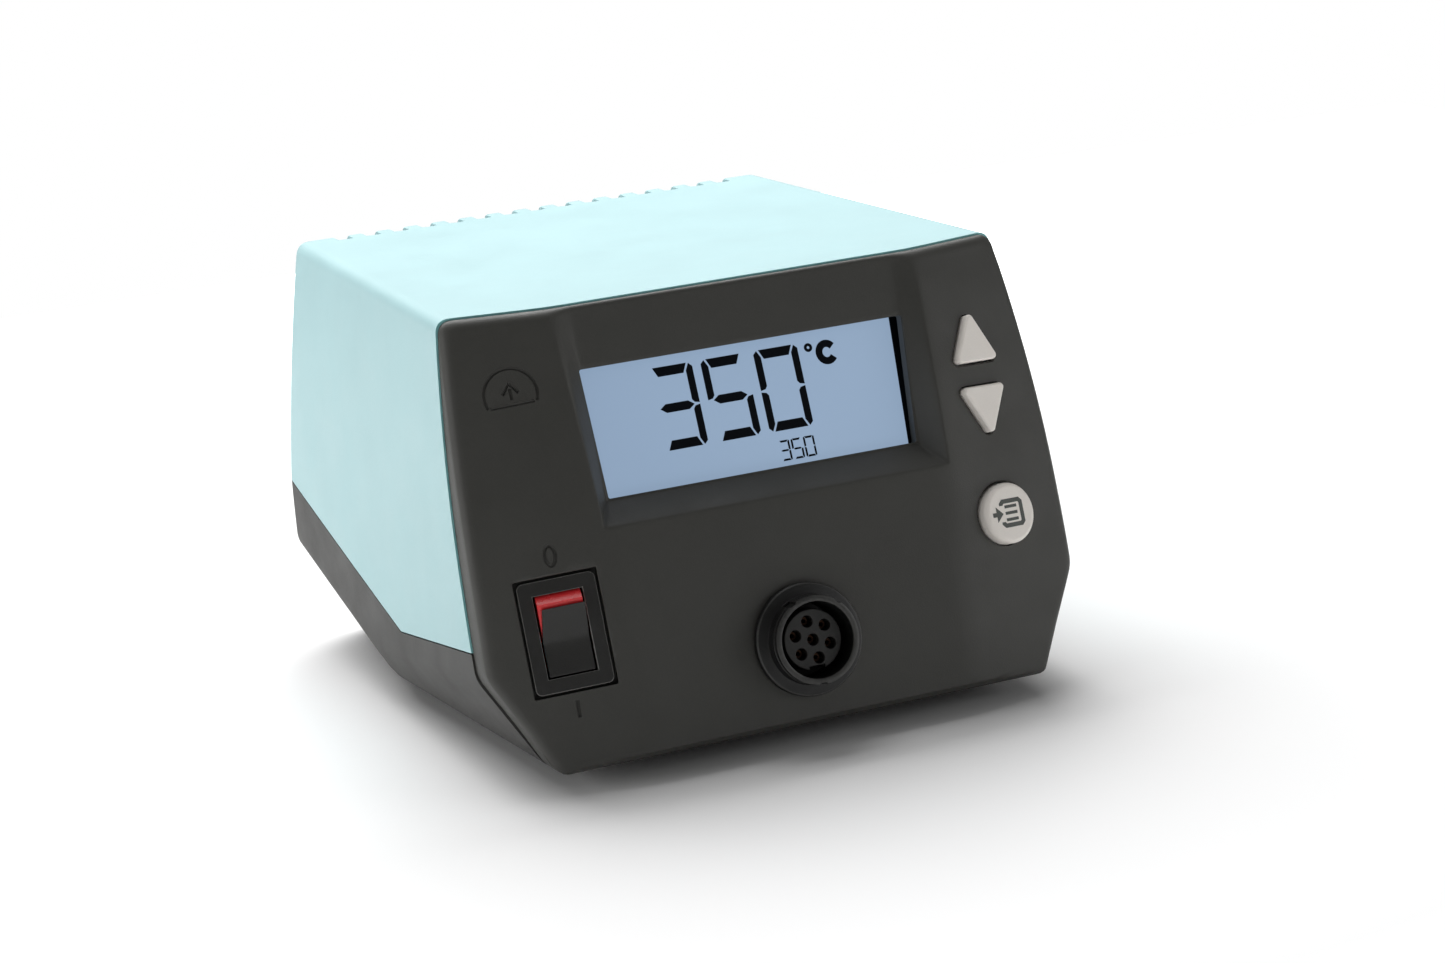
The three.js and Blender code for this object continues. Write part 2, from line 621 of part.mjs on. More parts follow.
/** One coil on the sleeve, in the given share of the height between the bobbin's flanges. */
function winding(from, to) {
  const low = coilZ.low + COIL.flange + GAP;
  const high = coilZ.high - COIL.flange - GAP;
  return ring(
    2 * CORE.leg - 1,
    CORE.stack / 2 + COIL.reach,
    sleeveX + GAP,
    sleeveY + GAP,
    lerp(low, high, from),
    lerp(low, high, to),
  );
}

function transformerClamp() {
  const x = CORE.width / 2 + GAP;
  const top = CORE.height + GAP;
  const { sheet, foot: footLength, width } = CLAMP;
  const outer = x + sheet + footLength;
  const strap = cut(
    block(-x - sheet, -width / 2, 0, x + sheet, width / 2, top + sheet),
    block(-x, -width, -1, x, width, top),
  );
  const feet = [-1, 1].map((side) => {
    const from = side < 0 ? -outer : x;
    return block(from, -width / 2, 0, from + outer - x, width / 2, sheet);
  });
  const holes = clampHoles().map(([hx]) => rod(2.3, -1, 5, hx - CORE.x, 0, 12));
  return cut(join(strap, ...feet), ...holes);
}

// ---------------------------------------------------------------- power board
const powerBoardHoles = () =>
  [-1, 1].map((side) => [POWER_BOARD.x + side * POWER_BOARD.holes, POWER_BOARD.y]);
const boardTop = POWER_BOARD.h + POWER_BOARD.thick + GAP;

function powerBoard() {
  const { x, y, h, width, depth, thick } = POWER_BOARD;
  const sheet = block(x - width / 2, y - depth / 2, h, x + width / 2, y + depth / 2, h + thick);
  return cut(sheet, ...powerBoardHoles().map(([hx, hy]) => rod(1.7, 0, 20, hx, hy, 10)));
}

/** A flat back with a row of upright fins. */
function heatSink() {
  const { width, height, back, fins: count, fin, reach } = HEAT_SINK;
  const pitch = (width - fin) / (count - 1);
  const fins = Array.from({ length: count }, (_, i) => {
    const x = i * pitch - width / 2;
    return block(x, 0, 0, x + fin, reach, height);
  });
  return join(block(-width / 2, 1.4 - back, 0, width / 2, 1.4, height), ...fins);
}

// ---------------------------------------------------------------- rear sockets
/** A frame on the rear wall: local X to the right seen from behind, Y up, Z out. */
function rearFrame(x, h) {
  const axes = [
    [-1, 0, 0],
    [0, 0, 1],
    [0, 1, 0],
  ].map((axis) => new THREE.Vector3(...axis));
  return new THREE.Matrix4().makeBasis(...axes).setPosition(x, REAR, h);
}

const inletFrame = rearFrame(INLET.x, INLET.h);
const cavityY = -2.6; // middle of the plug cavity, below the inlet's middle
const drawerY = 9.4; // middle of the fuse drawer, above it

function inletHole() {
  const half = INLET.width / 2 + GAP;
  return moved(block(-half, -half, -WALL - 2, half, half, 2), inletFrame);
}

/** Appliance inlet: a cavity with two bevelled lower corners, and a fuse drawer over it. */
function mainsInlet() {
  const half = INLET.flange / 2;
  const flange = plate(roundedRectangle(INLET.flange, INLET.flange, 1.5), GAP, 1.8, 3);
  const side = INLET.width / 2;
  const rise = INLET.height / 2;
  const body = block(-side, -rise, -INLET.depth, side, rise, 1);
  const mouth = new THREE.Shape(
    [
      [-12, 5.6],
      [-12, -4.6],
      [-8.5, -8.2],
      [8.5, -8.2],
      [12, -4.6],
      [12, 5.6],
    ].map(([x, y]) => new THREE.Vector2(x, y)),
  );
  const cavity = plate(mouth, -15.5, half).translate([0, cavityY, 0]);
  const pocket = block(
    -DRAWER.width / 2 - GAP,
    drawerY - DRAWER.height / 2 - GAP,
    -INLET.depth + 1,
    DRAWER.width / 2 + GAP,
    drawerY + DRAWER.height / 2 + GAP,
    half,
  );
  const pins = pinPlaces().map(([x, y]) => block(x - 1.3, y - 2.3, -half - 20, x + 1.3, y + 2.3, 0));
  return cut(join(flange, body), cavity, pocket, ...pins);
}

const pinPlaces = () => [
  [-7, cavityY - 1],
  [7, cavityY - 1],
  [0, cavityY + 2.6],
];

function inletPin([x, y], front) {
  return block(x - 1, y - 2, -INLET.depth - 7, x + 1, y + 2, front);
}

/** The fuse drawer, with a finger catch, and the fuse lying across in it. */
function fuseDrawer() {
  const half = { x: DRAWER.width / 2, y: DRAWER.height / 2 };
  const tray = block(-half.x, drawerY - half.y, 1.5 - DRAWER.length, half.x, drawerY + half.y, 2.1);
  const bed = block(-half.x + 1.4, drawerY - 2.9, -17, half.x - 1.4, drawerY + half.y + 1, -9.6);
  const grip = block(-4, drawerY - half.y, 0.4, 4, drawerY - half.y + 1.4, 3);
  return cut(tray, bed, grip);
}

function fuse() {
  const tube = new THREE.CylinderGeometry(2.6, 2.6, DRAWER.width - 3.4, 14).rotateZ(Math.PI / 2);
  return solid(tube.translate(0, drawerY, -13.3));
}

function bondingJack() {
  const body = join(rod(3.8, -11, 1, 0, 0, 20), rod(5.4, GAP, 1.6, 0, 0, 20));
  return cut(body, rod(2.05, -8, 3, 0, 0, 16));
}

// ---------------------------------------------------------------- wiring
/** A lead of the given section along a smooth path. */
function lead(section, points, steps) {
  const path = new THREE.CatmullRomCurve3(points.map((point) => new THREE.Vector3(...point)));
  return solid(new THREE.ExtrudeGeometry(section, { steps, extrudePath: path, curveSegments: 2 }));
}

function circle(radius) {
  const shape = new THREE.Shape();
  shape.absarc(0, 0, radius, 0, 2 * Math.PI, false);
  return shape;
}

const mainsLead = () =>
  lead(
    circle(2.2),
    [
      [38, 117, 20],
      [46, 106, 24],
      [50, 80, 26],
      [42, 62, 32],
      [10, 61, 34],
      [-28, 60.6, 33],
      [-43, 56, 31],
      [-46, 43, 29],
      [-47.5, 36, 28],
    ],
    30,
  );

const ribbonCable = () =>
  lead(
    roundedRectangle(14, 0.9, 0.3),
    [
      [10, 41, 11.2],
      [10, 41, 20],
      [10, 42, 34],
      [10, 40, 46],
      [10, 36.2, 52],
    ],
    9,
  );

// ---------------------------------------------------------------- assembly
const unit = new THREE.Group();
unit.position.set(0, -(UNIT_FRONT + UNIT_BACK) / 2, FOOT_HEIGHT);

unit.add(
  node("front_panel", frontPanel(), panelGrey),
  node("top_cover", topCover(), aqua),
  node("bottom_shell", bottomShell(), shellGrey),
);
FEET.forEach(([x, y], i) => unit.add(node(`foot_${i + 1}`, foot(), rubber, at(x, y, 0))));
SCREWS.forEach(([x, y], i) => {
  unit.add(node(`housing_screw_${i + 1}`, screw(1.5, 14, 3.1, 2), steel, at(x, y, 3 - GAP)));
});

const backlightFront = LCD.front - LCD.glass - GAP;
unit.add(
  node("lcd_glass", lcdBlock(LCD.front - LCD.glass, LCD.front), glass, screenFrame),
  node("lcd_backlight", lcdBlock(backlightFront - LCD.module, backlightFront), white, screenFrame),
  node("control_board", controlBoard(), board, screenFrame),
);
BOARD_POSTS.forEach(([x, y], i) => {
  const place = screenFrame.clone().multiply(at(x, y, CONTROL_BOARD.back - GAP));
  unit.add(node(`control_board_screw_${i + 1}`, screw(1, 7, 2.2, 1.3), steel, place));
});

unit.add(node("button_board", buttonBoard(), board, buttonBoardFrame));
for (const [name, h] of Object.entries(BUTTON_HEIGHTS)) {
  const { x, y } = buttonOnBoard(h);
  const place = buttonBoardFrame.clone().multiply(at(x, y, -BUTTON.boardDepth));
  unit.add(node(`${name}_key_switch`, keySwitch(), black, place));
}
const buttons = { up: arrowButton(BUTTON_HEIGHTS.up, 1), down: arrowButton(BUTTON_HEIGHTS.down, -1) };
buttons.menu = menuButton(BUTTON_HEIGHTS.menu);
for (const [name, made] of Object.entries(buttons)) {
  unit.add(node(`${name}_button`, made, buttonGrey, buttonFrame(BUTTON_HEIGHTS[name])));
}

const rockerTilt = new THREE.Matrix4().makeRotationX(THREE.MathUtils.degToRad(ROCKER.tilt));
const rockerFrame = switchFrame.clone().multiply(at(0, 0, pivotZ)).multiply(rockerTilt);
unit.add(
  node("switch_housing", switchHousing(), black, switchFrame),
  node("switch_rocker", switchRocker(), red, rockerFrame),
);
terminalPlaces().forEach(([x, y], i) => {
  const blade = block(-2.4, -0.4, switchFace - 22, 2.4, 0.4, switchFace - 13.3);
  unit.add(node(`switch_terminal_${i + 1}`, blade, brass, switchFrame.clone().multiply(at(x, y, 0))));
});

unit.add(
  node("socket_shell", socketShell(), black, socketFrame),
  node("socket_insert", socketInsert(), black, socketFrame),
  node("socket_nut", socketNut(), steel, socketFrame),
);
contactPlaces().forEach(([x, y], i) => {
  const place = socketFrame.clone().multiply(at(x, y, 0));
  unit.add(node(`socket_contact_${i + 1}`, socketContact(), brass, place));
});

const coreFrame = at(CORE.x, CORE.y, CORE.bottom);
unit.add(
  node("transformer_core", transformerCore(), laminate, coreFrame),
  node("transformer_bobbin", bobbin(), white, coreFrame),
  node("primary_winding", winding(0, 0.58), copper, coreFrame),
  node("secondary_winding", winding(0.6, 1), copper, coreFrame),
  node("transformer_clamp", transformerClamp(), steel, coreFrame),
);
const upsideDown = (x, y, z) => at(x, y, z).multiply(new THREE.Matrix4().makeRotationX(Math.PI));
clampHoles().forEach(([x, y], i) => {
  const place = upsideDown(x, y, CORE.bottom + CLAMP.sheet + GAP);
  unit.add(node(`transformer_screw_${i + 1}`, screw(1.7, 6.3, 3.6, 2.4), steel, place));
});

unit.add(
  node("power_board", powerBoard(), board),
  node("heat_sink", heatSink(), laminate, at(-2, POWER_BOARD.y, boardTop)),
  node(
    "filter_capacitor",
    rod(CAPACITOR.radius, 0, CAPACITOR.height, 0, 0, 24),
    black,
    at(CAPACITOR.x, POWER_BOARD.y, boardTop),
  ),
);
powerBoardHoles().forEach(([x, y], i) => {
  unit.add(node(`power_board_screw_${i + 1}`, screw(1.2, 6, 2.6, 1.8), steel, upsideDown(x, y, boardTop)));
});

unit.add(
  node("mains_inlet", mainsInlet(), black, inletFrame),
  node("fuse_drawer", fuseDrawer(), black, inletFrame),
  node("fuse", fuse(), glass, inletFrame),
  node("bonding_jack", bondingJack(), brass, rearFrame(JACK.x, JACK.h)),
);
["line", "neutral", "earth"].forEach((name, i) => {
  const pin = inletPin(pinPlaces()[i], name === "earth" ? 0 : -2.5);
  unit.add(node(`inlet_pin_${name}`, pin, steel, inletFrame));
});

unit.add(node("mains_lead", mainsLead(), white), node("ribbon_cable", ribbonCable(), buttonGrey));

const station = new THREE.Group();
station.add(unit);
export default station;
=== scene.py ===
"""The looks of a soldering station's control unit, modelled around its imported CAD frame.

Shapes are worked out in millimetres in the housing's own frame: x to the right, y from the foot of the front
towards the rear, z up from the underside. Each finished mesh is then scaled to metres and put where the CAD
housing stands.
"""
import json
import math

import bmesh
import bpy
import numpy as np
from mathutils import Matrix, Vector


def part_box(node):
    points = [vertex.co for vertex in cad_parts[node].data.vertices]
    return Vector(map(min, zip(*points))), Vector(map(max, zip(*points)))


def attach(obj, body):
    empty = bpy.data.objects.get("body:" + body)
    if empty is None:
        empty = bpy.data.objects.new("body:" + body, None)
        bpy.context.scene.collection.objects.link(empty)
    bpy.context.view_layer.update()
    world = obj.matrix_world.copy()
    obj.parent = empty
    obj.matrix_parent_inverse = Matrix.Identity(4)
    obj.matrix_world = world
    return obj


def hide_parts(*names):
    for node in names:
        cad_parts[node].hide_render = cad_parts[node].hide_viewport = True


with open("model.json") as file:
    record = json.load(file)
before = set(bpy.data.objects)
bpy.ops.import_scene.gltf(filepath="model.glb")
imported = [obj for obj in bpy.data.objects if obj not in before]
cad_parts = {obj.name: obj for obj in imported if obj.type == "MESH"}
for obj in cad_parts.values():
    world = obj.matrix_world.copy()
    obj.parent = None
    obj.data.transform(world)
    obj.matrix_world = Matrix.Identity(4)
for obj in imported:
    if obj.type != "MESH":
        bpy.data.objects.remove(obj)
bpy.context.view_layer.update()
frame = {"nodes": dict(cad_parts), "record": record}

MM = 0.001

# --- driving dimensions, in millimetres
SHELL_LOW, SHELL_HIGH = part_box("bottom_shell")
COVER_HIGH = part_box("top_cover")[1]
REAR = 148.5  # rear wall
TOP = (COVER_HIGH.z - SHELL_LOW.z) / MM  # roof
ORIGIN = Vector((0, SHELL_HIGH.y - REAR * MM, SHELL_LOW.z))
TO_WORLD = Matrix.Translation(ORIGIN) @ Matrix.Scale(MM, 4)
GAP = 0.3
WALL = 2.4

HALF_WIDTH = COVER_HIGH.x / MM
SIDE_CURVE = 4.3  # how far the sides draw in towards the roof
REAR_TAPER = 0.034
RIDGE = {"front": 21.7, "low_y": 89.5, "low": 7.7, "rear": 20.5}  # height of the widest line
BASE = {"front": 53.6, "low": 61.0, "rear": 52.0}  # half width of the underside
ROOF_ROUND = 2.8  # how far the roof's edge is rounded
BASE_ROUND = 2.4
RIDGE_ROUND = 1.0
REAR_ROUND = 2.6
EDGE_ROUND = 1.9  # outer edge of the front panel
# How much smaller the front panel is than the cover behind it, and from where on.
PANEL_INSET = {"by": 0.4, "x": 54, "h": 81, "over": 5}

FACET_SLOPE = 0.236
CREASE = {"x": 35.1, "spread": 0.054, "round": 3.0}  # between the middle and the side facets
FRONT_LEAN = 0.161
FRONT_CURVE = 0.00149
JOINT = {"y": 6.2, "slope": 0.246}  # the front panel's rear edge
LIP = {"rise": 2.6, "slope": 0.5}  # the front panel's bevelled foot
SEAM = {"elbow_y": 68.0, "elbow_h": 16.7, "rise": 0.224, "fall": 0.149}  # of cover and shell

LEAN = 0.245  # of the display and the switch
DISPLAY = {"low": 50.1, "top": 76.4, "y": 17.5, "half_low": 34.6, "half_top": 35.4}
POCKET = {"low": 46.6, "half_low": 37.9, "half_top": 39.9}
WINDOW = {"half_low": 34.0, "half_top": 35.4, "corner": 0.5}
# The screen leans back more than the window before it.
# The last two: where the painted shade at the screen's right edge begins, at its foot and at its top.
SCREEN = {"tilt": 6, "sunk": 1.6, "face": -2.3, "shade_from_low": 33.06, "shade_from_top": 35.16}

SWITCH = {"x": -48.9, "h": 27.6, "width": 15.8, "height": 22.4, "sunk": 0.5, "turn": 1.1}
ROCKER = {"width": 9.3, "radius": 9.45, "depth": 5.2, "tilt": 11, "narrowed": 0.85, "widened": 0.2}
BUTTON = {"x": 49.2, "lean": 0.3, "back": -5.4, "flange": 1.1, "flange_top": -4.3, "stem": 1.7}
ARROW = {"width": 10.1, "height": 9.8, "corner": 0.9, "proud": 1.6, "edge": 0.55}
MENU = {"radius": 6.35, "proud": 2.3, "edge": 1.1}
BUTTON_HEIGHTS = {"up": 69.3, "down": 55.2, "menu": 34.0}
SOCKET = {"h": 18.2, "lean": 0.215, "flange": 11.5, "collar": 9.05, "bore": 7.7, "rim": 6.1, "insert": 6.2}
CONTACTS = {"ring": 3.85, "hole": 1.2, "count": 6}
SLOTS = {"count": 15, "pitch": 6.68, "width": 3.0, "depth": 6.5, "bottom": 64.0}
INLET = {"x": 36.0, "h": 18.3, "width": 27.0, "flange": 30.0}
JACK = {"x": -44.0, "h": 20.0}


# --- small mathematics
def lerp(a, b, t):
    return a + (b - a) * t


def smooth_max(a, b, width):
    """The larger of two values, blended where they are closer than the width."""
    near = np.maximum(width - np.abs(a - b), 0) / width
    return np.maximum(a, b) + near * near * width / 4


def smooth_min(a, b, width):
    return -smooth_max(-a, -b, width)


def round_off(distance, width):
    """How much an outline draws in beside a rounded corner, by the distance from the other side."""
    return (math.sqrt(width) - np.sqrt(np.clip(distance, 0, width))) ** 2


def eased(start, end, count):
    """Stations from start to end, closer together at both ends, without the last one."""
    return [lerp(start, end, 0.5 - 0.5 * math.cos(math.pi * i / count)) for i in range(count)]


def evenly(start, end, count):
    return [lerp(start, end, i / count) for i in range(count)]


def polar(radius, angle):
    return radius * math.cos(angle), radius * math.sin(angle)


def quarter(radius, steps):
    """Stations of a quarter round: the angle, how far it has drawn in and how far it still has to go."""
    angles = [math.pi / 2 * i / steps for i in range(steps + 1)]
    return [(a, radius * (1 - math.cos(a)), radius * (1 - math.sin(a))) for a in angles]


def shift(x, y, z=0):
    return Matrix.Translation((x, y, z))


def turn(degrees, axis):
    return Matrix.Rotation(math.radians(degrees), 4, axis)


# --- the housing's surfaces
def along_ridge(y, front, low, rear):
    """A measure that changes evenly from the front to the ridge's lowest point, and on to the rear."""
    if y < RIDGE["low_y"]:
        return lerp(front, low, y / RIDGE["low_y"])
    return lerp(low, rear, (y - RIDGE["low_y"]) / (REAR - RIDGE["low_y"]))


def ridge_height(y):
    return along_ridge(y, RIDGE["front"], RIDGE["low"], RIDGE["rear"])


def side_half(y, h):
    climb = min(max((h - 20) / (TOP - 20), 0), 1)
    return HALF_WIDTH - SIDE_CURVE * climb**2 - REAR_TAPER * (y - 36) * max(0, (h - 35) / (TOP - 35))


def wide_half(y, h):
    """Half width at a height: the chamfer below the ridge, the barrelled side above it."""
    ridge = ridge_height(y)
    base = along_ridge(y, BASE["front"], BASE["low"], BASE["rear"])
    chamfer = lerp(base, side_half(y, ridge), h / ridge)
    return float(smooth_min(side_half(y, h), chamfer, RIDGE_ROUND))


def outline_half(y, h, inset=0.0):
    """The same with the roof's and the underside's corners rounded, and the whole outline drawn in."""
    rounding = round_off(TOP - inset - h, ROOF_ROUND) + round_off(h - inset, BASE_ROUND)
    return wide_half(y, h) - inset - float(rounding)


def front_middle(h):
    return FRONT_LEAN * h + FRONT_CURVE * h**2


def crease_at(h):
    return CREASE["x"] + CREASE["spread"] * h


def facet_setback(x, h):
    return FACET_SLOPE * smooth_max(abs(x) - crease_at(h), 0, CREASE["round"])


def display_y(h):
    return DISPLAY["y"] + LEAN * (h - DISPLAY["low"])


def joint_y(x, h):
    """Where the front panel ends."""
    return JOINT["y"] + JOINT["slope"] * h + facet_setback(x, h)


def seam_h(y):
    """Height of the seam between cover and shell."""
    slope = SEAM["rise"] if y > SEAM["elbow_y"] else -SEAM["fall"]
    return SEAM["elbow_h"] + slope * (y - SEAM["elbow_y"])


def pocket_half(h, part):
    """Half width of the display's recess, on its floor or at the face."""
    edge = DISPLAY if part == "floor" else POCKET
    climb = (h - edge["low"]) / (TOP - edge["low"])
    return lerp(edge["half_low"], edge["half_top"], max(climb, -0.2))


def front_surface(x, h):
    """Depth of the panel's face, with the bow, the display's recess, the bevelled foot and the outer edge."""
    bow = front_middle(h)
    floor = display_y(h)
    inner, outer = pocket_half(h, "floor"), pocket_half(h, "face")
    wall = bow + (outer - abs(x)) * (floor - bow) / (outer - inner)
    low = front_middle(POCKET["low"])
    ramp = low + (h - POCKET["low"]) * (DISPLAY["y"] - low) / (DISPLAY["low"] - POCKET["low"])
    pocket = smooth_min(smooth_min(floor, wall, 0.5), ramp, 0.5)
    face = smooth_max(bow + facet_setback(x, h), pocket, 0.6)
    foot = (LIP["rise"] - h) / LIP["slope"]
    face = smooth_max(face, foot, 1.4)
    side = wide_half(face, h) - abs(x)
    edge = max(float(smooth_min(side, TOP - h, ROOF_ROUND)), 0)
    radius = min(EDGE_ROUND, 0.7 * float(joint_y(x, h) - face))
    near = max(radius - edge, 0)
    return float(face) + radius - math.sqrt(radius**2 - near**2)


# --- mesh making
def new_object(name, data):
    obj = bpy.data.objects.new(name, data)
    bpy.context.scene.collection.objects.link(obj)
    return obj


def mesh_object(points, faces):
    mesh = bpy.data.meshes.new("shape")
    mesh.from_pydata([tuple(p) for p in points], [], faces)
    mesh.validate()
    return new_object("shape", mesh)


def strip(first, second, count, closed=False):
    """Quads between two rows of vertices that start at the given numbers."""
    last = count if closed else count - 1
    return [(first + i, first + (i + 1) % count, second + (i + 1) % count, second + i) for i in range(last)]


def sheet(rows):
    """Points and quads of a grid of points."""
    count = len(rows[0])
    points = [p for row in rows for p in row]
    faces = [f for r in range(len(rows) - 1) for f in strip(r * count, (r + 1) * count, count)]
    return points, faces


def loft(rings, closed=False):
    """A solid through rings of points. It has flat ends, or comes back to the first ring if it is closed."""
    count, turns = len(rings[0]), len(rings)
    faces = []
    for r in range(turns if closed else turns - 1):
        faces += strip(r * count, (r + 1) % turns * count, count, closed=True)
    if not closed:
        faces.append(tuple(range(count))[::-1])
        faces.append(tuple(range((turns - 1) * count, turns * count)))
    return face_outwards(mesh_object([p for ring in rings for p in ring], faces))


def edit(obj, change):
    """Runs a bmesh change on an object's mesh."""
    made = bmesh.new()
    made.from_mesh(obj.data)
    change(made)
    made.to_mesh(obj.data)
    made.free()
    obj.data.update()
    return obj


def face_outwards(obj):
    def change(made):
        bmesh.ops.recalc_face_normals(made, faces=made.faces)
        if made.calc_volume(signed=True) < 0:
            bmesh.ops.reverse_faces(made, faces=made.faces)

    return edit(obj, change)


def modified(obj, kind, **settings):
    """Applies one modifier to an object."""
    modifier = obj.modifiers.new("change", kind)
    for key, value in settings.items():
        setattr(modifier, key, value)
    depsgraph = bpy.context.evaluated_depsgraph_get()
    made = bpy.data.meshes.new_from_object(obj.evaluated_get(depsgraph))
    obj.modifiers.clear()
    obj.data = made
    return obj


def thicken(obj, thickness):
    return face_outwards(modified(obj, "SOLIDIFY", thickness=thickness, offset=-1))


def soften(obj, width, angle=50):
    """Rounds the edges that are sharper than an angle."""
    limit = {"limit_method": "ANGLE", "angle_limit": math.radians(angle)}
    return modified(obj, "BEVEL", width=width, segments=2, **limit)


def boolean(obj, others, operation="DIFFERENCE"):
    """Cuts or joins one object with others, which are used up."""
    for other in others:
        modified(obj, "BOOLEAN", operation=operation, object=other, solver="EXACT")
        bpy.data.objects.remove(other)
    return obj


def join(objects):
    """One object from several, each keeping its own surface."""
    made = bmesh.new()
    for obj in objects:
        made.from_mesh(obj.data)
        bpy.data.objects.remove(obj)
    mesh = bpy.data.meshes.new("shape")
    made.to_mesh(mesh)
    made.free()
    return new_object("shape", mesh)


def moved(obj, matrix):
    obj.data.transform(matrix)
    obj.data.update()
    return obj


def finish_piece(obj, name, nodes, slot, looks=(), sharp=35, body="housing"):
    """Names and shades a piece, scales it to metres in its place, hangs it on its body and hides the CAD
    nodes it stands for.

    The looks are the names of its materials, where they aren't just its slot's own.
    """
    obj.name = obj.data.name = name
    moved(obj, TO_WORLD)
    obj.data.shade_smooth()
    obj.data.set_sharp_from_angle(angle=math.radians(sharp))
    weighted = obj.modifiers.new("normals", "WEIGHTED_NORMAL")
    weighted.keep_sharp = True
    weighted.weight = 60
    parts = [face.material_index for face in obj.data.polygons]
    obj.data.materials.clear()
    for look in looks or [slot]:
        obj.data.materials.append(MATERIALS[look])
    obj.data.polygons.foreach_set("material_index", parts)
    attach(obj, body)
    if nodes:
        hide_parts(*nodes)


def paint_light_shade_and_wear(obj, picks):
    """Gives a piece's second material to the faces whose normal and centre pass the test: painted highlights
    and painted shade along edges, and abrasion on a rim.
    """
    for face in obj.data.polygons:
        if picks(face.normal, face.center):
            face.material_index = 1


# --- outlines, each drawn in or out by an offset
def circle(radius, count=48):
    def outline(offset=0.0):
        r = radius + offset
        return [polar(r, 2 * math.pi * i / count) for i in range(count)]

    return outline


def arc_corners(corners, radius, offset, steps=6):
    """A convex outline through corner centres, given counter-clockwise, with round corners."""
    points = []
    for i, (cx, cy) in enumerate(corners):
        bx, by = corners[i - 1]
        ax, ay = corners[(i + 1) % len(corners)]
        start = math.atan2(cy - by, cx - bx) - math.pi / 2
        end = math.atan2(ay - cy, ax - cx) - math.pi / 2
        sweep = (end - start) % (2 * math.pi)
        r = max(radius + offset, 0.02)
        for k in range(steps + 1):
            a = start + sweep * k / steps
            points.append((cx + r * math.cos(a), cy + r * math.sin(a)))
    return points


def rectangle(width, height, corner):
    x, y = width / 2 - corner, height / 2 - corner
    return lambda offset=0.0: arc_corners([(x, -y), (x, y), (-x, y), (-x, -y)], corner, offset)


def triangle(width, height, corner, pointing):
    x, y = width / 2 - corner, (height / 2 - corner) * pointing
    corners = [(-x, -y), (x, -y), (0, y)] if pointing > 0 else [(x, -y), (-x, -y), (0, y)]
    return lambda offset=0.0: arc_corners(corners, corner, offset)


def stacked(outline, levels):
    """A solid from one outline: each level gives an offset and a height."""
    return loft([[(x, y, z) for x, y in outline(offset)] for offset, z in levels])


def flared(outline, depth, radius, z=0.0):
    """A cutter that leaves a rounded edge round its opening."""
    edge = [(drawn, z - rest) for _, drawn, rest in quarter(radius, 4)]
    return stacked(outline, [(0.0, z - depth)] + edge + [(radius, z + 3)])


def cap(outline, bottom, top, radius, steps=5):
    """A solid with a rounded upper edge."""
    edge = [(-drawn, top - rest) for _, drawn, rest in quarter(radius, steps)]
    return stacked(outline, [(0.0, bottom)] + edge)


def turned(profile, count=64, closed=False):
    """A solid round the Z axis: flat at both ends of its profile, or a ring if the profile is closed."""
    return loft([[(x, y, z) for x, y in circle(r, count)()] for r, z in profile], closed)


def box(low, high):
    points = [(x, y, z) for z in (low[2], high[2]) for y in (low[1], high[1]) for x in (low[0], high[0])]
    faces = [(0, 2, 3, 1), (4, 5, 7, 6), (0, 1, 5, 4), (2, 6, 7, 3), (0, 4, 6, 2), (1, 3, 7, 5)]
    return face_outwards(mesh_object(points, faces))


# --- frames on the housing
def frame_of(right, up, out, place):
    made = Matrix((right, up, out)).transposed().to_4x4()
    made.translation = Vector(place)
    return made


def face_frame(facet, x, y, h, lean):
    """A frame on the front: local X to the right, Y up along the face, Z out of it."""
    out = Vector((facet * FACET_SLOPE, -1, lean)).normalized()
    up = Vector((0, lean, 1)).normalized()
    return frame_of(up.cross(out), up, out, (x, y, h))


def flat_front(x, h):
    """Depth of the face at a fitting, without the rounding of the crease."""
    return front_middle(h) + FACET_SLOPE * max(0, abs(x) - crease_at(h))


def button_frame(name):
    h = BUTTON_HEIGHTS[name]
    return face_frame(1, BUTTON["x"], flat_front(BUTTON["x"], h), h, BUTTON["lean"])


def button_outline(name):
    if name == "menu":
        return circle(MENU["radius"], 64)
    return triangle(ARROW["width"], ARROW["height"], ARROW["corner"], 1 if name == "up" else -1)


def rear_frame(x, h):
    """A frame on the rear wall, seen from behind."""
    return frame_of((-1, 0, 0), (0, 0, 1), (0, 1, 0), (x, REAR, h))


SWITCH_FRONT = flat_front(SWITCH["x"], SWITCH["h"])
SWITCH_FRAME = face_frame(-1, SWITCH["x"], SWITCH_FRONT, SWITCH["h"], LEAN) @ turn(SWITCH["turn"], "Z")
SOCKET_FRAME = face_frame(0, 0, front_middle(SOCKET["h"]), SOCKET["h"], SOCKET["lean"])
DISPLAY_H = (DISPLAY["low"] + DISPLAY["top"]) / 2
DISPLAY_FRAME = face_frame(0, 0, display_y(DISPLAY_H), DISPLAY_H, LEAN)
SCREEN_FRAME = DISPLAY_FRAME @ shift(0, 0, -SCREEN["sunk"]) @ turn(-SCREEN["tilt"], "X")
INLET_FRAME = rear_frame(INLET["x"], INLET["h"])


# --- materials
MATERIALS = {}


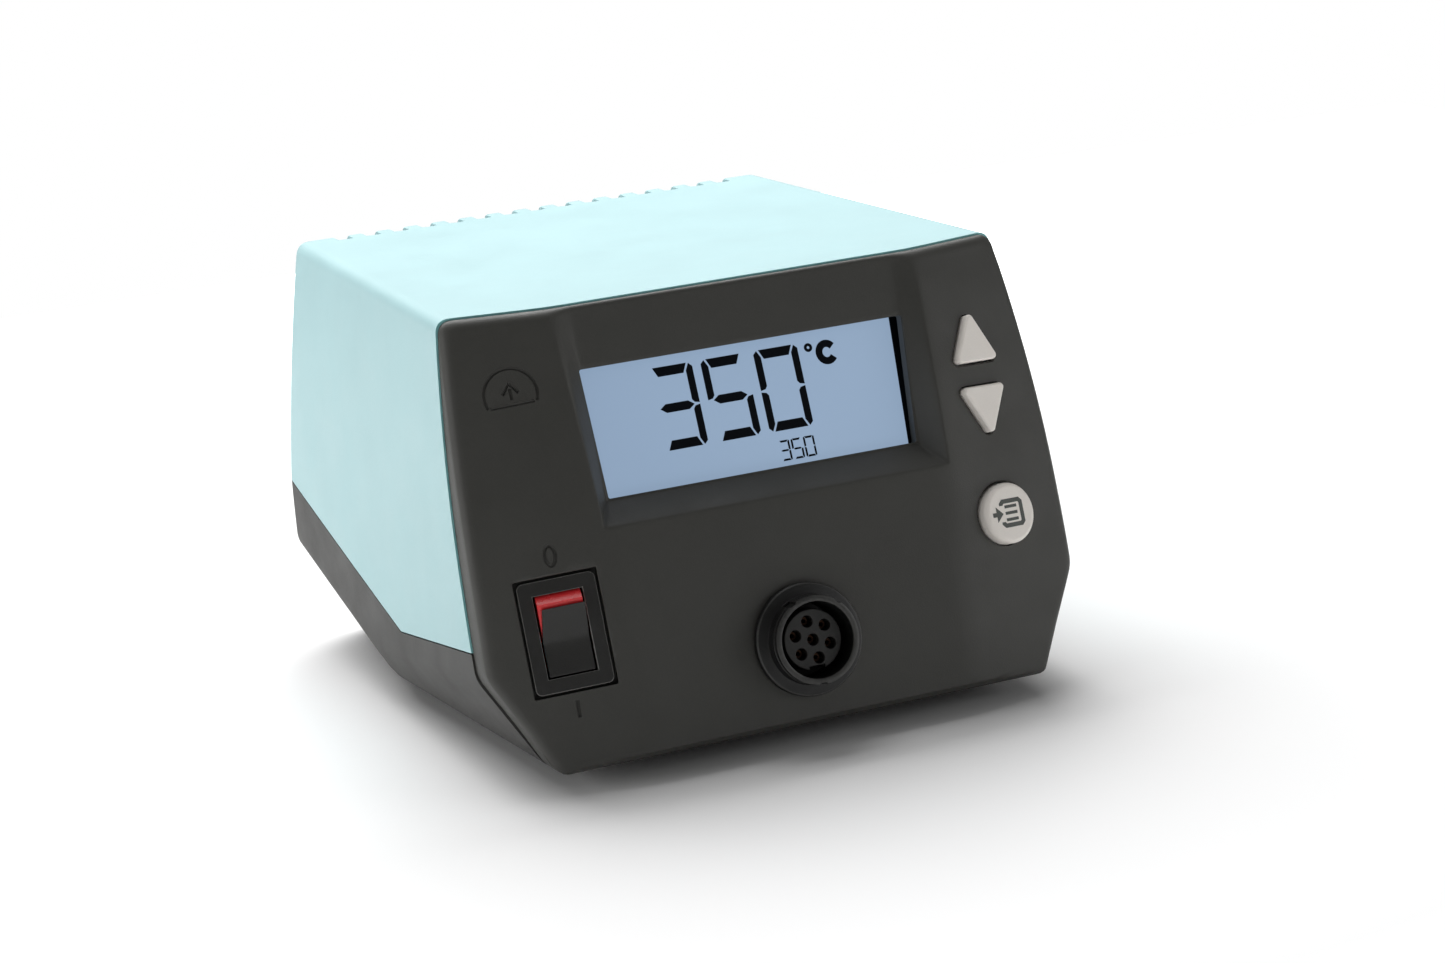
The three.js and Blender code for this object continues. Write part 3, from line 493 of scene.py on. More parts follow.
class Nodes:
    """A new material's node tree, with short ways to add and link nodes."""

    def __init__(self, name):
        self.material = bpy.data.materials.new(name)
        self.material.use_nodes = True
        self.tree = self.material.node_tree
        self.shader = self.tree.nodes["Principled BSDF"]
        MATERIALS[name] = self.material
        self.place = self.add("ShaderNodeTexCoord").outputs["Object"]

    def add(self, kind, inputs=(), **settings):
        made = self.tree.nodes.new(kind)
        for key, value in settings.items():
            setattr(made, key, value)
        for key, value in dict(inputs).items():
            self.link(made.inputs[key], value)
        return made

    def link(self, socket, value):
        if isinstance(value, bpy.types.NodeSocket):
            self.tree.links.new(value, socket)
        else:
            socket.default_value = value

    def noise(self, per_metre, detail=3.0, roughness=0.55, vector=None):
        inputs = {"Scale": per_metre, "Detail": detail, "Roughness": roughness}
        inputs["Vector"] = vector or self.place
        return self.add("ShaderNodeTexNoise", inputs).outputs["Fac"]

    def waves(self, per_metre, direction, distortion=0.0):
        inputs = {"Scale": per_metre, "Distortion": distortion, "Vector": self.place}
        return self.add("ShaderNodeTexWave", inputs, bands_direction=direction).outputs["Fac"]

    def between(self, fac, low, high, start=0.0, end=1.0):
        """A number that goes from low to high as the factor goes from start to end."""
        inputs = {"Value": fac, "From Min": start, "From Max": end, "To Min": low, "To Max": high}
        return self.add("ShaderNodeMapRange", inputs).outputs["Result"]

    def blend(self, fac, first, second):
        mix = self.add("ShaderNodeMix", data_type="RGBA")
        self.link(mix.inputs["Factor"], fac)
        for name, colour in (("A", first), ("B", second)):
            socket = next(s for s in mix.inputs if s.name == name and s.type == "RGBA")
            self.link(socket, colour)
        return next(s for s in mix.outputs if s.type == "RGBA")

    def bump(self, height, distance, strength=1.0):
        inputs = {"Height": height, "Distance": distance, "Strength": strength}
        made = self.add("ShaderNodeBump", inputs)
        self.link(self.shader.inputs["Normal"], made.outputs["Normal"])

    def set(self, **values):
        for name, value in values.items():
            self.link(self.shader.inputs[name.replace("_", " ")], value)


def shade(colour, factor):
    return tuple(min(c * factor, 1) for c in colour[:3]) + (1,)


def moulded(name, colour, rough, grain=1.0, speckle=0.06, depth=0.00006):
    """Spark-eroded moulded plastic: a fine even grain, faint cloudiness and handling marks."""
    nodes = Nodes(name)
    cloud = nodes.between(nodes.noise(38, 4), 0, 1, 0.3, 0.7)
    fine = nodes.between(nodes.noise(2600 * grain, 2, 0.6), 0, 0.35, 0.45, 0.75)
    darker, lighter, lightest = (shade(colour, 1 + speckle * step) for step in (-1, 1, 2.5))
    speckled = nodes.blend(fine, nodes.blend(cloud, darker, lighter), lightest)
    handled = nodes.between(nodes.noise(90, 5), rough - 0.05, rough + 0.06, 0.3, 0.7)
    nodes.bump(nodes.noise(3400 * grain, 3, 0.6), depth, 0.6)
    nodes.set(Base_Color=speckled, Roughness=handled, IOR=1.47)


def metal(name, colour, rough, stretch=(1, 1, 14)):
    """Drawn or plated metal: fine scratches along one direction, and a slow change of tarnish."""
    nodes = Nodes(name)
    along = nodes.add("ShaderNodeMapping", {"Vector": nodes.place, "Scale": stretch}).outputs["Vector"]
    scratch = nodes.noise(900, 4, 0.6, along)
    tarnish = nodes.between(nodes.noise(160, 3), 0, 1, 0.35, 0.7)
    nodes.bump(scratch, 0.00003, 0.5)
    scratched = nodes.between(scratch, rough - 0.08, rough + 0.12)
    colour_here = nodes.blend(tarnish, shade(colour, 1.0), shade(colour, 0.72))
    nodes.set(Base_Color=colour_here, Roughness=scratched, Metallic=1.0)


def rubber(name, colour):
    nodes = Nodes(name)
    dust = nodes.between(nodes.noise(420, 5, 0.65), 0, 0.5, 0.5, 0.8)
    nodes.bump(nodes.noise(1800, 3), 0.00008, 0.6)
    nodes.set(Base_Color=nodes.blend(dust, colour, shade(colour, 2.6)), Roughness=0.86)


def display(name):
    """A backlit liquid crystal display: a slightly uneven pale glow under smooth glass."""
    nodes = Nodes(name)
    uneven = nodes.between(nodes.noise(14, 1), 0, 1, 0.3, 0.7)
    glow = nodes.blend(uneven, (0.262, 0.36, 0.5, 1), (0.3, 0.405, 0.55, 1))
    unlit = nodes.blend(uneven, (0.105, 0.144, 0.2, 1), (0.12, 0.162, 0.22, 1))
    nodes.bump(nodes.waves(700, "X"), 0.000002, 0.1)
    nodes.set(Base_Color=unlit, Emission_Color=glow, Emission_Strength=0.88)
    nodes.set(Roughness=0.22, Coat_Weight=0.25, Coat_Roughness=0.06)


def ink(name, colour, gloss=0.5):
    nodes = Nodes(name)
    colour_here = nodes.blend(nodes.noise(300, 3), colour, shade(colour, 1.8))
    rough = nodes.between(nodes.noise(900), 0.42, 0.58)
    nodes.set(Base_Color=colour_here, Roughness=rough, Specular_IOR_Level=gloss)


def laminations(name):
    """The edges of stacked steel sheets under varnish."""
    nodes = Nodes(name)
    line = nodes.waves(640, "Y", 0.4)
    rust = nodes.between(nodes.noise(220, 5, 0.65), 0, 0.8, 0.55, 0.75)
    sheets = nodes.blend(line, (0.035, 0.035, 0.038, 1), (0.16, 0.155, 0.15, 1))
    nodes.bump(line, 0.0001, 0.8)
    nodes.set(Base_Color=nodes.blend(rust, sheets, (0.17, 0.09, 0.05, 1)), Roughness=0.42, Metallic=0.6)


def wound_wire(name, colour):
    """Enamelled wire, turn by turn, under varnish."""
    nodes = Nodes(name)
    line = nodes.waves(420, "Z", 0.6)
    nodes.bump(line, 0.0003, 0.9)
    nodes.set(Base_Color=nodes.blend(line, shade(colour, 0.35), colour), Roughness=0.3, Metallic=0.5)


def circuit_board(name):
    """Green solder mask with a faint pattern of copper tracks under it."""
    nodes = Nodes(name)
    cells = nodes.add("ShaderNodeTexBrick", {"Vector": nodes.place, "Scale": 260.0, "Mortar Size": 0.06})
    track = cells.outputs["Fac"]
    cloud = nodes.between(nodes.noise(120, 3), 0, 1, 0.35, 0.65)
    base = nodes.blend(cloud, (0.012, 0.1, 0.035, 1), (0.02, 0.15, 0.055, 1))
    nodes.bump(track, 0.00004, 0.6)
    nodes.set(Base_Color=nodes.blend(track, base, (0.05, 0.24, 0.1, 1)), Roughness=0.32)


def clear_glass(name):
    nodes = Nodes(name)
    smear = nodes.between(nodes.noise(300, 4), 0.03, 0.12, 0.4, 0.7)
    nodes.set(Base_Color=(0.86, 0.9, 0.9, 1), Roughness=smear, Transmission_Weight=0.85, IOR=1.5)


def make_materials():
    moulded("cover_plastic", (0.43, 0.65, 0.675), 0.5, speckle=0.02)
    # painted shade: the darker, more saturated cyan of the cover's shaded front lip
    moulded("cover_edge_shade", (0.3, 0.68, 0.69), 0.5, speckle=0.03)
    moulded("shell_plastic", (0.043, 0.042, 0.039), 0.55, grain=0.8, depth=0.00009)
    moulded("panel_plastic", (0.048, 0.0475, 0.0425), 0.52)
    moulded("black_plastic", (0.017, 0.0168, 0.0155), 0.42, grain=1.4)
    moulded("socket_plastic", (0.005, 0.005, 0.005), 0.42, grain=1.6, speckle=0.2)
    moulded("insert_plastic", (0.014, 0.014, 0.013), 0.45, grain=1.6)
    # painted highlight: a lighter black for the rounded edges of the switch's bezel and the rocker's cap
    moulded("edge_highlight_plastic", (0.17, 0.168, 0.16), 0.4, grain=1.4, speckle=0.2)
    # partly abrasion, partly painted highlight: a lighter black for the socket's rim face and the flange's
    # rounded edge
    moulded("rim_wear_and_highlight", (0.034, 0.034, 0.032), 0.42, grain=0.5, speckle=0.5)
    moulded("rocker_red", (0.8, 0.03, 0.035), 0.3, grain=1.5, speckle=0.05, depth=0.00002)
    moulded("button_plastic", (0.92, 0.87, 0.81), 0.46, grain=1.3, speckle=0.03, depth=0.00003)
    rubber("foot_rubber", (0.014, 0.014, 0.014, 1))
    metal("screw_steel", (0.58, 0.58, 0.56), 0.34, (1, 1, 1))
    metal("clamp_steel", (0.6, 0.6, 0.6), 0.36)
    # brass darkened far below its own colour: partly tarnish, partly painted shade of the deep contact holes
    metal("contact_brass", (0.07, 0.038, 0.024), 0.45)
    metal("pin_nickel", (0.66, 0.64, 0.6), 0.24)
    laminations("core_steel")
    moulded("bobbin_plastic", (0.72, 0.69, 0.6), 0.45)
    wound_wire("winding_wire", (0.5, 0.15, 0.05, 1))
    circuit_board("board_green")
    display("display_glass")
    moulded("display_light", (0.8, 0.8, 0.76), 0.3)
    # also the sheet of painted shade at the screen's right edge
    ink("ink_and_shade_black", (0.002, 0.003, 0.005, 1), gloss=0.08)
    ink("icon_grey", (0.052, 0.058, 0.052, 1))
    metal("heat_sink_black", (0.03, 0.03, 0.032), 0.45)
    moulded("capacitor_sleeve", (0.02, 0.02, 0.035), 0.25)
    clear_glass("fuse_glass")
    moulded("lead_sleeve", (0.62, 0.6, 0.54), 0.4)
    moulded("ribbon_grey", (0.3, 0.3, 0.31), 0.5)


# --- front panel
def panel_columns(y, h):
    """Stations across the panel, close together along the recess, the crease and the outer edge."""
    inner, outer, edge = pocket_half(h, "floor"), pocket_half(h, "face"), outline_half(y, h)
    right = eased(0, inner, 14) + eased(inner, outer, 8) + eased(outer, edge, 22) + [edge]
    return [-x for x in right[:0:-1]] + right


def rounded_foot(count=5):
    return [BASE_ROUND * (i / count) ** 2 for i in range(count)]


def rounded_roof(count=9):
    return [TOP - ROOF_ROUND * (1 - i / count) ** 2 for i in range(count + 1)]


def slide_back(x, h, start, end):
    """Where a point of the outline at one depth lies at another depth."""
    before, after = ridge_height(start), ridge_height(end)
    if h < before:
        height = h * after / before
    else:
        height = TOP - (TOP - h) * (TOP - after) / (TOP - before)
    return x * outline_half(end, height) / outline_half(start, h), end, height


def drawn_in(x, y, h):
    """The panel ends a little inside the cover, whose front edge shows round it."""
    sideways = min(max((abs(x) - PANEL_INSET["x"]) / PANEL_INSET["over"], 0), 1)
    upwards = min(max((h - PANEL_INSET["h"]) / PANEL_INSET["over"], 0), 1)
    by = PANEL_INSET["by"]
    return x - math.copysign(by * sideways, x), y, h - by * upwards


def panel_skin():
    """The face as a grid, and the band that runs back from its outer edge to the joint."""
    ridge = ridge_height(10)
    heights = rounded_foot() + eased(BASE_ROUND, ridge, 12) + eased(ridge, POCKET["low"], 20)
    heights += eased(POCKET["low"], DISPLAY["low"], 10) + eased(DISPLAY["low"], TOP - ROOF_ROUND, 24)
    heights += rounded_roof()
    rows = []
    for h in heights:
        depth = flat_front(HALF_WIDTH - 4, h)
        rows.append([(x, front_surface(x, h), h) for x in panel_columns(depth, h)])
    points, faces = sheet(rows)
    width, height = len(rows[0]), len(rows)
    rim = list(range(width)) + [r * width + width - 1 for r in range(1, height)]
    rim += [(height - 1) * width + c for c in range(width - 2, -1, -1)]
    rim += [r * width for r in range(height - 2, 0, -1)]
    previous = rim
    for step in (0.25, 0.5, 0.75, 1.0):
        ring = []
        for index in rim:
            x, y, h = points[index]
            ring.append(slide_back(x, h, y, lerp(y, joint_y(x, h), step)))
        numbers = list(range(len(points), len(points) + len(ring)))
        points += ring
        count = len(rim)
        for i in range(count):
            faces.append((previous[(i + 1) % count], previous[i], numbers[i], numbers[(i + 1) % count]))
        previous = numbers
    return mesh_object([drawn_in(*point) for point in points], faces)


def groove(path, radius, closed=False):
    """A rounded engraving tool that follows a path on a flat place, its middle just under the surface."""
    rings = []
    count, sides, sink = len(path), 8, -0.05
    for i, (x, y) in enumerate(path):
        before = path[i - 1] if closed or i else path[i]
        after = path[(i + 1) % count] if closed or i < count - 1 else path[i]
        along = Vector((after[0] - before[0], after[1] - before[1])).normalized()
        side = Vector((along.y, -along.x))
        ring = []
        for k in range(sides):
            out, rise = polar(radius, 2 * math.pi * k / sides)
            ring.append((x + side.x * out, y + side.y * out, sink + rise))
        rings.append(ring)
    return loft(rings, closed)


def mark_frame(x, h):
    return face_frame(-1, x, flat_front(x, h), h, FRONT_LEAN + 2 * FRONT_CURVE * h)


def arc_path(radius, start, end, count, squash=1.0):
    angles = [math.radians(lerp(start, end, i / count)) for i in range(count + 1)]
    return [(radius * math.cos(a), radius * squash * math.sin(a)) for a in angles]


def engraved_marks():
    """Off and on marks round the switch, and an arc with a small arrow under it higher up."""
    zero = arc_path(1.05, 0, 345, 23, squash=1.95 / 1.05)
    stroke = [(0, y) for y in evenly(-1.7, 1.7, 6) + [1.7]]
    arch = arc_path(5.3, -22, 202, 30)
    sill = [(x, -2.0) for x in evenly(-4.4, 4.4, 8) + [4.4]]
    pointer = [(-1.6, 0.2), (0, 2.2), (1.6, 0.2)]
    stem = [(0, y) for y in evenly(-1.0, 2.0, 4)]
    sign = mark_frame(-50.5, 73.6)
    tools = [moved(groove(zero, 0.4, closed=True), mark_frame(-49.2, 42.7))]
    tools.append(moved(groove(stroke, 0.4), mark_frame(-48.8, 12.9)))
    return tools + [moved(groove(path, 0.36), sign) for path in (arch, sill, pointer, stem)]


def window_outline(offset=0.0):
    """The display's window, a little wider at its top."""
    corner = WINDOW["corner"]
    reach = (DISPLAY["top"] - DISPLAY["low"]) / 2 - corner
    low, top = WINDOW["half_low"] - corner, WINDOW["half_top"] - corner
    return arc_corners([(low, -reach), (top, reach), (-top, reach), (-low, -reach)], corner, offset)


def widened(outline, by):
    return lambda offset=0.0: outline(offset + by)


def front_panel():
    panel = soften(thicken(panel_skin(), WALL), 0.25)
    width, height = SWITCH["width"], SWITCH["height"]
    backing = stacked(rectangle(width + 5, height + 5, 1), [(0, -4.6), (0, -1.2)])
    boolean(panel, [moved(backing, SWITCH_FRAME)], "UNION")
    cutters = [
        moved(flared(rectangle(width + 1.1, height + 1.1, 0.35), 2.9, 0.35), SWITCH_FRAME),
        moved(stacked(rectangle(13.8, 21.8, 0.4), [(0, -12), (0, 0)]), SWITCH_FRAME),
        moved(flared(circle(SOCKET["collar"] - 0.2), 8, 0.4), SOCKET_FRAME),
        moved(flared(circle(MENU["radius"] + GAP), 6, 0.4), button_frame("menu")),
    ]
    for name in ("up", "down"):
        cutters.append(moved(flared(widened(button_outline(name), GAP), 6, 0.4), button_frame(name)))
    cutters += engraved_marks()
    cutters.append(moved(flared(window_outline, 7, 0.15, z=0.03), DISPLAY_FRAME))
    boolean(panel, cutters)
    finish_piece(panel, "front_panel_shell", ["front_panel"], "panel_plastic")


# --- cover and shell
def front_of(x, h):
    """Where cover and shell begin, a gap behind the front panel."""
    return joint_y(x, h) + GAP


def cover_section(y, inset):
    """The cover's outline from the seam on the left, over the roof, to the seam on the right."""
    seam = seam_h(y) + GAP / 2
    heights = evenly(seam, TOP - ROOF_ROUND - inset, 16)
    heights += [h - inset for h in rounded_roof(8)]
    right = [(outline_half(y, h, inset), h) for h in heights]
    half, top = right[-1]
    roof = [(half * t, top) for t in np.linspace(1, -1, 26)[1:-1]]
    return [(-x, h) for x, h in right] + [(-x, h) for x, h in roof] + right[::-1]


def shell_section(y, inset):
    """The shell's outline from the seam on the right, under the floor, to the seam on the left."""
    seam = seam_h(y) - GAP / 2
    ridge = min(ridge_height(y), seam - 1)
    heights = [h + inset for h in rounded_foot()] + eased(BASE_ROUND + inset, ridge, 10)
    heights += eased(ridge, seam, 10) + [seam]
    right = [(outline_half(y, h, inset), h) for h in heights]
    half, low = right[0]
    floor = [(half * t, low) for t in np.linspace(1, -1, 18)[1:-1]]
    return right[::-1] + floor + [(-x, h) for x, h in right]


def seam_stations():
    """Stations from front to rear, one of them at the seam's elbow."""
    front = front_of(HALF_WIDTH, seam_h(20))
    elbow = (SEAM["elbow_y"] - front) / (REAR - REAR_ROUND - front)
    return evenly(0, elbow, 10) + evenly(elbow, 1, 14) + [1.0]


def housing_skin(section):
    """A skin from the joint with the front panel to the rear wall, whose edge is rounded."""
    fronts = []
    for index in range(len(section(20, 0))):
        y = 20.0
        for _ in range(6):
            x, h = section(y, 0)[index]
            y = front_of(x, h)
        fronts.append(y)
    rows = []
    for station in seam_stations():
        row = []
        for index, front in enumerate(fronts):
            y = lerp(front, REAR - REAR_ROUND, station)
            x, h = section(y, 0)[index]
            row.append((x, y, h))
        rows.append(row)
    for _, inset, rest in quarter(REAR_ROUND, 6)[1:]:
        y = REAR - rest
        rows.append([(x, y, h) for x, h in section(y, inset)])
    points, faces = sheet(rows)
    last = (len(rows) - 1) * len(rows[0])
    faces.append(tuple(range(last, last + len(rows[0]))))
    obj = mesh_object(points, faces)
    return edit(obj, lambda made: bmesh.ops.recalc_face_normals(made, faces=made.faces))


def slot_cutter(x):
    """A tool for one vent slot: along the roof, round its rear edge and down the rear wall."""
    half = SLOTS["width"] / 2
    least = 0.55 * half  # at the slot's ends
    start = REAR - SLOTS["depth"]
    path = [(start - 0.5 + d, TOP, 0) for d in (0, 0.15, 0.5)] + [(REAR - REAR_ROUND, TOP, 0)]
    path += [(REAR - rest, TOP - drawn, a) for a, drawn, rest in quarter(REAR_ROUND, 5)[1:]]
    path += [(REAR, SLOTS["bottom"] + d, math.pi / 2) for d in (0.5, 0.15, 0)]
    deep = 0.05 - REAR_ROUND
    flare = [(half + 0.55, 2.0), (half + 0.55, 0.0), (half + 0.2, -0.16), (half, -0.6), (half, deep)]
    narrow = [0.0, 0.45, 1.0] + [1.0] * (len(path) - 6) + [1.0, 0.45, 0.0]
    rings = []
    for (y, z, a), share in zip(path, narrow):
        ring = []
        for side, depth in flare + [(-s, d) for s, d in flare[::-1]]:
            width = math.copysign(least + (abs(side) - least) * share, side)
            ring.append((x + width, y + math.sin(a) * depth, z + math.cos(a) * depth))
        rings.append(ring)
    return loft(rings)


def top_cover():
    cover = soften(thicken(housing_skin(cover_section), WALL), 0.45)
    first = -(SLOTS["count"] - 1) / 2
    slots = [slot_cutter((first + i) * SLOTS["pitch"]) for i in range(SLOTS["count"])]
    boolean(cover, [join(slots)])
    # Painted shade: the forward-facing faces along the cover's front edge get the darker cyan.
    paint_light_shade_and_wear(cover, lambda normal, centre: normal.y < -0.3 and centre.y < SEAM["elbow_y"])
    looks = ["cover_plastic", "cover_edge_shade"]
    finish_piece(cover, "top_cover_shell", ["top_cover"], "cover_plastic", looks, sharp=40)


def bottom_shell():
    shell = soften(thicken(housing_skin(shell_section), WALL), 0.3)
    opening = rectangle(INLET["width"] + 0.6, INLET["width"] + 0.6, 1)
    cutters = [
        moved(stacked(opening, [(0, -5), (0, 3)]), INLET_FRAME),
        moved(stacked(circle(4.1), [(0, -5), (0, 3)]), rear_frame(JACK["x"], JACK["h"])),
    ]
    for corner in range(1, 5):
        cutters.append(recess(f"foot_{corner}", 0.4, 0.9))
        cutters.append(recess(f"housing_screw_{corner}", 0.5, 2.2))
    vents = [box((38 + i * 3, 62, -2), (39.6 + i * 3, 86, WALL + 1)) for i in range(7)]
    boolean(shell, cutters + [join(vents)])
    finish_piece(shell, "bottom_shell_tray", ["bottom_shell"], "shell_plastic", sharp=40)


def under_floor(node):
    """A round CAD node's place, radius, lowest and highest level in the housing's own millimetres."""
    low, high = (TO_WORLD.inverted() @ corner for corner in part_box(node))
    centre = (low + high) / 2
    return shift(centre.x, centre.y), (high.x - low.x) / 2, low.z, high.z


def recess(node, clearance, depth):
    """A round tool for the recess over a foot or a screw under the floor."""
    place, radius, _, _ = under_floor(node)
    return moved(stacked(circle(radius + clearance, 32), [(0, -1), (0, depth)]), place)


# --- display
def plate(outline, low, high):
    return loft([[(x, y, z) for x, y in outline] for z in (low, high)])


def ribbon(path, width, low, high):
    """A flat stroke of even width along a path, with mitred corners."""
    rings = []
    count = len(path)
    for i, point in enumerate(path):
        here = Vector(point)
        before = (here - Vector(path[i - 1])).normalized() if i else None
        after = (Vector(path[i + 1]) - here).normalized() if i < count - 1 else None
        before, after = before or after, after or before
        middle = (before + after).normalized()
        side = Vector((middle.y, -middle.x)) * (width / 2 / middle.dot(after))
        left, right = here - side, here + side
        rings.append([(*left, low), (*right, low), (*right, high), (*left, high)])
    return loft(rings)


def segments(width, height, across, upright):
    """The seven strokes of a digit as outlines, by their usual letters."""
    middle, low, u = height / 2, height - across, upright
    top = [(0.8 * u, height), (width - 0.8 * u, height), (width - 1.4 * u, low), (1.4 * u, low)]
    bar = [(0.77 * u, middle), (1.6 * u, middle + across * 0.46), (width - 1.6 * u, middle + across * 0.46)]
    bar += [(width - x, height - y) for x, y in bar]
    left = [(0, height - 0.55 * u), (0.5 * u, height - 0.07 * u), (u, height - 1.03 * u)]
    left += [(u, middle + 0.65 * u), (0.7 * u, middle + 0.25 * u), (0, middle + 0.11 * u)]

    def upside_down(outline):
        return [(x, height - y) for x, y in outline]

    def mirrored(outline):
        return [(width - x, y) for x, y in outline]

    strokes = {"a": top, "d": upside_down(top), "g": bar, "f": left, "e": upside_down(left)}
    strokes["b"], strokes["c"] = mirrored(strokes["f"]), mirrored(strokes["e"])
    return strokes


DIGITS = {"3": "abgcd", "5": "afgcd", "0": "abcdef"}
# the layer of the printed digits and of the painted shade at the screen's right edge
INK_AND_SHADE_LAYER = (SCREEN["face"] - 0.02, SCREEN["face"] + 0.05)
LCD_HALF = Vector((38, 16))


def number(text, x, y, size, pitch, across, upright):
    """Digits side by side, their lower left corner at x, y."""
    strokes = segments(*size, across, upright)
    made = []
    for i, digit in enumerate(text):
        for letter in DIGITS[digit]:
            outline = [(x + i * pitch + px, y + py) for px, py in strokes[letter]]
            made.append(plate(outline, *INK_AND_SHADE_LAYER))
    return made


def display_segments():
    """The temperature, its unit, and the set value in small digits."""
    parts = number("350", x=-19.6, y=-5.7, size=(9.8, 17.05), pitch=11.66, across=1.95, upright=1.52)
    parts += number("350", x=5.0, y=-11.95, size=(2.4, 4.25), pitch=2.75, across=0.42, upright=0.4)
    letter = [(19.75 + x, 8.6 + y) for x, y in arc_path(1.7, 36, 324, 20, squash=1.07)]
    parts.append(ribbon(letter, 1.5, *INK_AND_SHADE_LAYER))
    profile = [(0.3, INK_AND_SHADE_LAYER[0]), (0.92, INK_AND_SHADE_LAYER[0]), (0.92, INK_AND_SHADE_LAYER[1]), (0.3, INK_AND_SHADE_LAYER[1])]
    parts.append(moved(turned(profile, 20, closed=True), shift(15.9, 10.15)))
    whole = moved(join(parts), SCREEN_FRAME)
    finish_piece(whole, "display_segments", [], "display_glass", ["ink_and_shade_black"])


def display_edge_shade():
    """A black sheet over the screen's right edge: painted shade for the shadowed gap between the screen and
    the window.
    """
    top, low = SCREEN["shade_from_top"], SCREEN["shade_from_low"]
    outline = [(low, -LCD_HALF.y), (LCD_HALF.x, -LCD_HALF.y), (LCD_HALF.x, LCD_HALF.y), (top, LCD_HALF.y)]
    mask = moved(plate(outline, *INK_AND_SHADE_LAYER), SCREEN_FRAME)
    finish_piece(mask, "display_edge_shade", [], "black_plastic", ["ink_and_shade_black"])


# --- buttons
def stem_end(name):
    """How far back the button's stem reaches, in the button's own frame."""
    node = frame["nodes"][f"{name}_button"]
    to_button = (TO_WORLD @ button_frame(name)).inverted() @ node.matrix_world
    return min((to_button @ vertex.co).z for vertex in node.data.vertices)


def push_button(name):
    """A cap with a softly rounded upper edge, the flange that keeps it in, and its stem."""
    size = MENU if name == "menu" else ARROW
    outline, back = button_outline(name), BUTTON["back"]
    body = cap(outline, back, size["proud"], size["edge"], steps=7)
    flange_levels = [(0, back + 0.01), (0, BUTTON["flange_top"])]
    flange = stacked(widened(outline, BUTTON["flange"]), flange_levels)
    stem = stacked(circle(BUTTON["stem"], 20), [(0, stem_end(name)), (0, back + 0.5)])
    boolean(body, [flange, stem], "UNION")
    moved(body, button_frame(name))
    node = f"{name}_button"
    finish_piece(body, f"{node}_cap", [node], "button_plastic", body=node)


def menu_icon():
    """A sheet with three lines, and an arrow that points into it."""
    low, high = MENU["proud"] - 0.05, MENU["proud"] + 0.05
    side, rise, corner = 2.55, 2.5, 0.5
    outline = [(-side, 1.7), (-side, rise - corner), (corner - side, rise), (side - corner, rise)]
    outline += [(side, rise - corner), (side, corner - rise), (side - corner, -rise), (corner - side, -rise)]
    outline += [(-side, corner - rise), (-side, -1.7)]
    strokes = [(outline, 0.9), ([(-5.0, 0), (-3.9, 0)], 0.9)]
    strokes += [([(-1.7, y), (1.4, y)], 0.62) for y in (1.35, 0, -1.35)]
    parts = [ribbon(path, width, low, high) for path, width in strokes]
    parts.append(plate([(-4.0, 1.6), (-4.0, -1.6), (-2.3, 0)], low, high))
    icon = moved(join(parts), button_frame("menu") @ shift(0.25, 0))
    finish_piece(icon, "menu_icon", [], "button_plastic", ["icon_grey"], body="menu_button")


def buttons():
    for name in BUTTON_HEIGHTS:
        push_button(name)
    menu_icon()


# --- power switch
SWITCH_FACE = -SWITCH["sunk"]
TO_PIVOT = shift(0, 0, SWITCH_FACE - ROCKER["depth"])
ROCKER_FRAME = SWITCH_FRAME @ TO_PIVOT @ turn(ROCKER["tilt"], "X")
ALONG_X = turn(90, "Y")


def switch_housing():
    outline = rectangle(SWITCH["width"], SWITCH["height"], 1.3)
    bezel = cap(outline, SWITCH_FACE - 1.5, SWITCH_FACE, 0.25)
    body = stacked(rectangle(13, 21.2, 0.5), [(0, SWITCH_FACE - 15), (0, SWITCH_FACE - 1)])
    boolean(bezel, [body], "UNION")
    width = ROCKER["width"] / 2 + 0.35
    drum = stacked(circle(ROCKER["radius"] + GAP, 96), [(0, -width), (0, width)])
    boolean(bezel, [moved(drum, TO_PIVOT @ ALONG_X)])
    soften(bezel, 0.16, angle=60)
    # Painted highlight: the bezel's rounded outer edge gets the lighter black.
    paint_light_shade_and_wear(bezel, lambda normal, centre: 0.35 < normal.z < 0.96 and centre.z > SWITCH_FACE - 0.3)
    moved(bezel, SWITCH_FRAME)
    looks = ["black_plastic", "edge_highlight_plastic"]
    finish_piece(bezel, "switch_housing_bezel", ["switch_housing"], "black_plastic", looks)


def rocker_face(drop):
    """The rocker's hollow face from one end to the other, lowered by a drop."""
    crest = ROCKER["depth"] - 0.2 - drop
    rise = math.tan(math.radians(ROCKER["tilt"]))
    end = 6.95 - 0.25 * drop
    return [(y, crest + rise * float(smooth_max(abs(y), 0, 1.6)) - 0.08) for y in np.linspace(-end, end, 25)]


def across(outline, half):
    """An outline in y and z, drawn out to both sides of x = 0."""
    return loft([[(x, y, z) for y, z in outline] for x in (-half, half)])


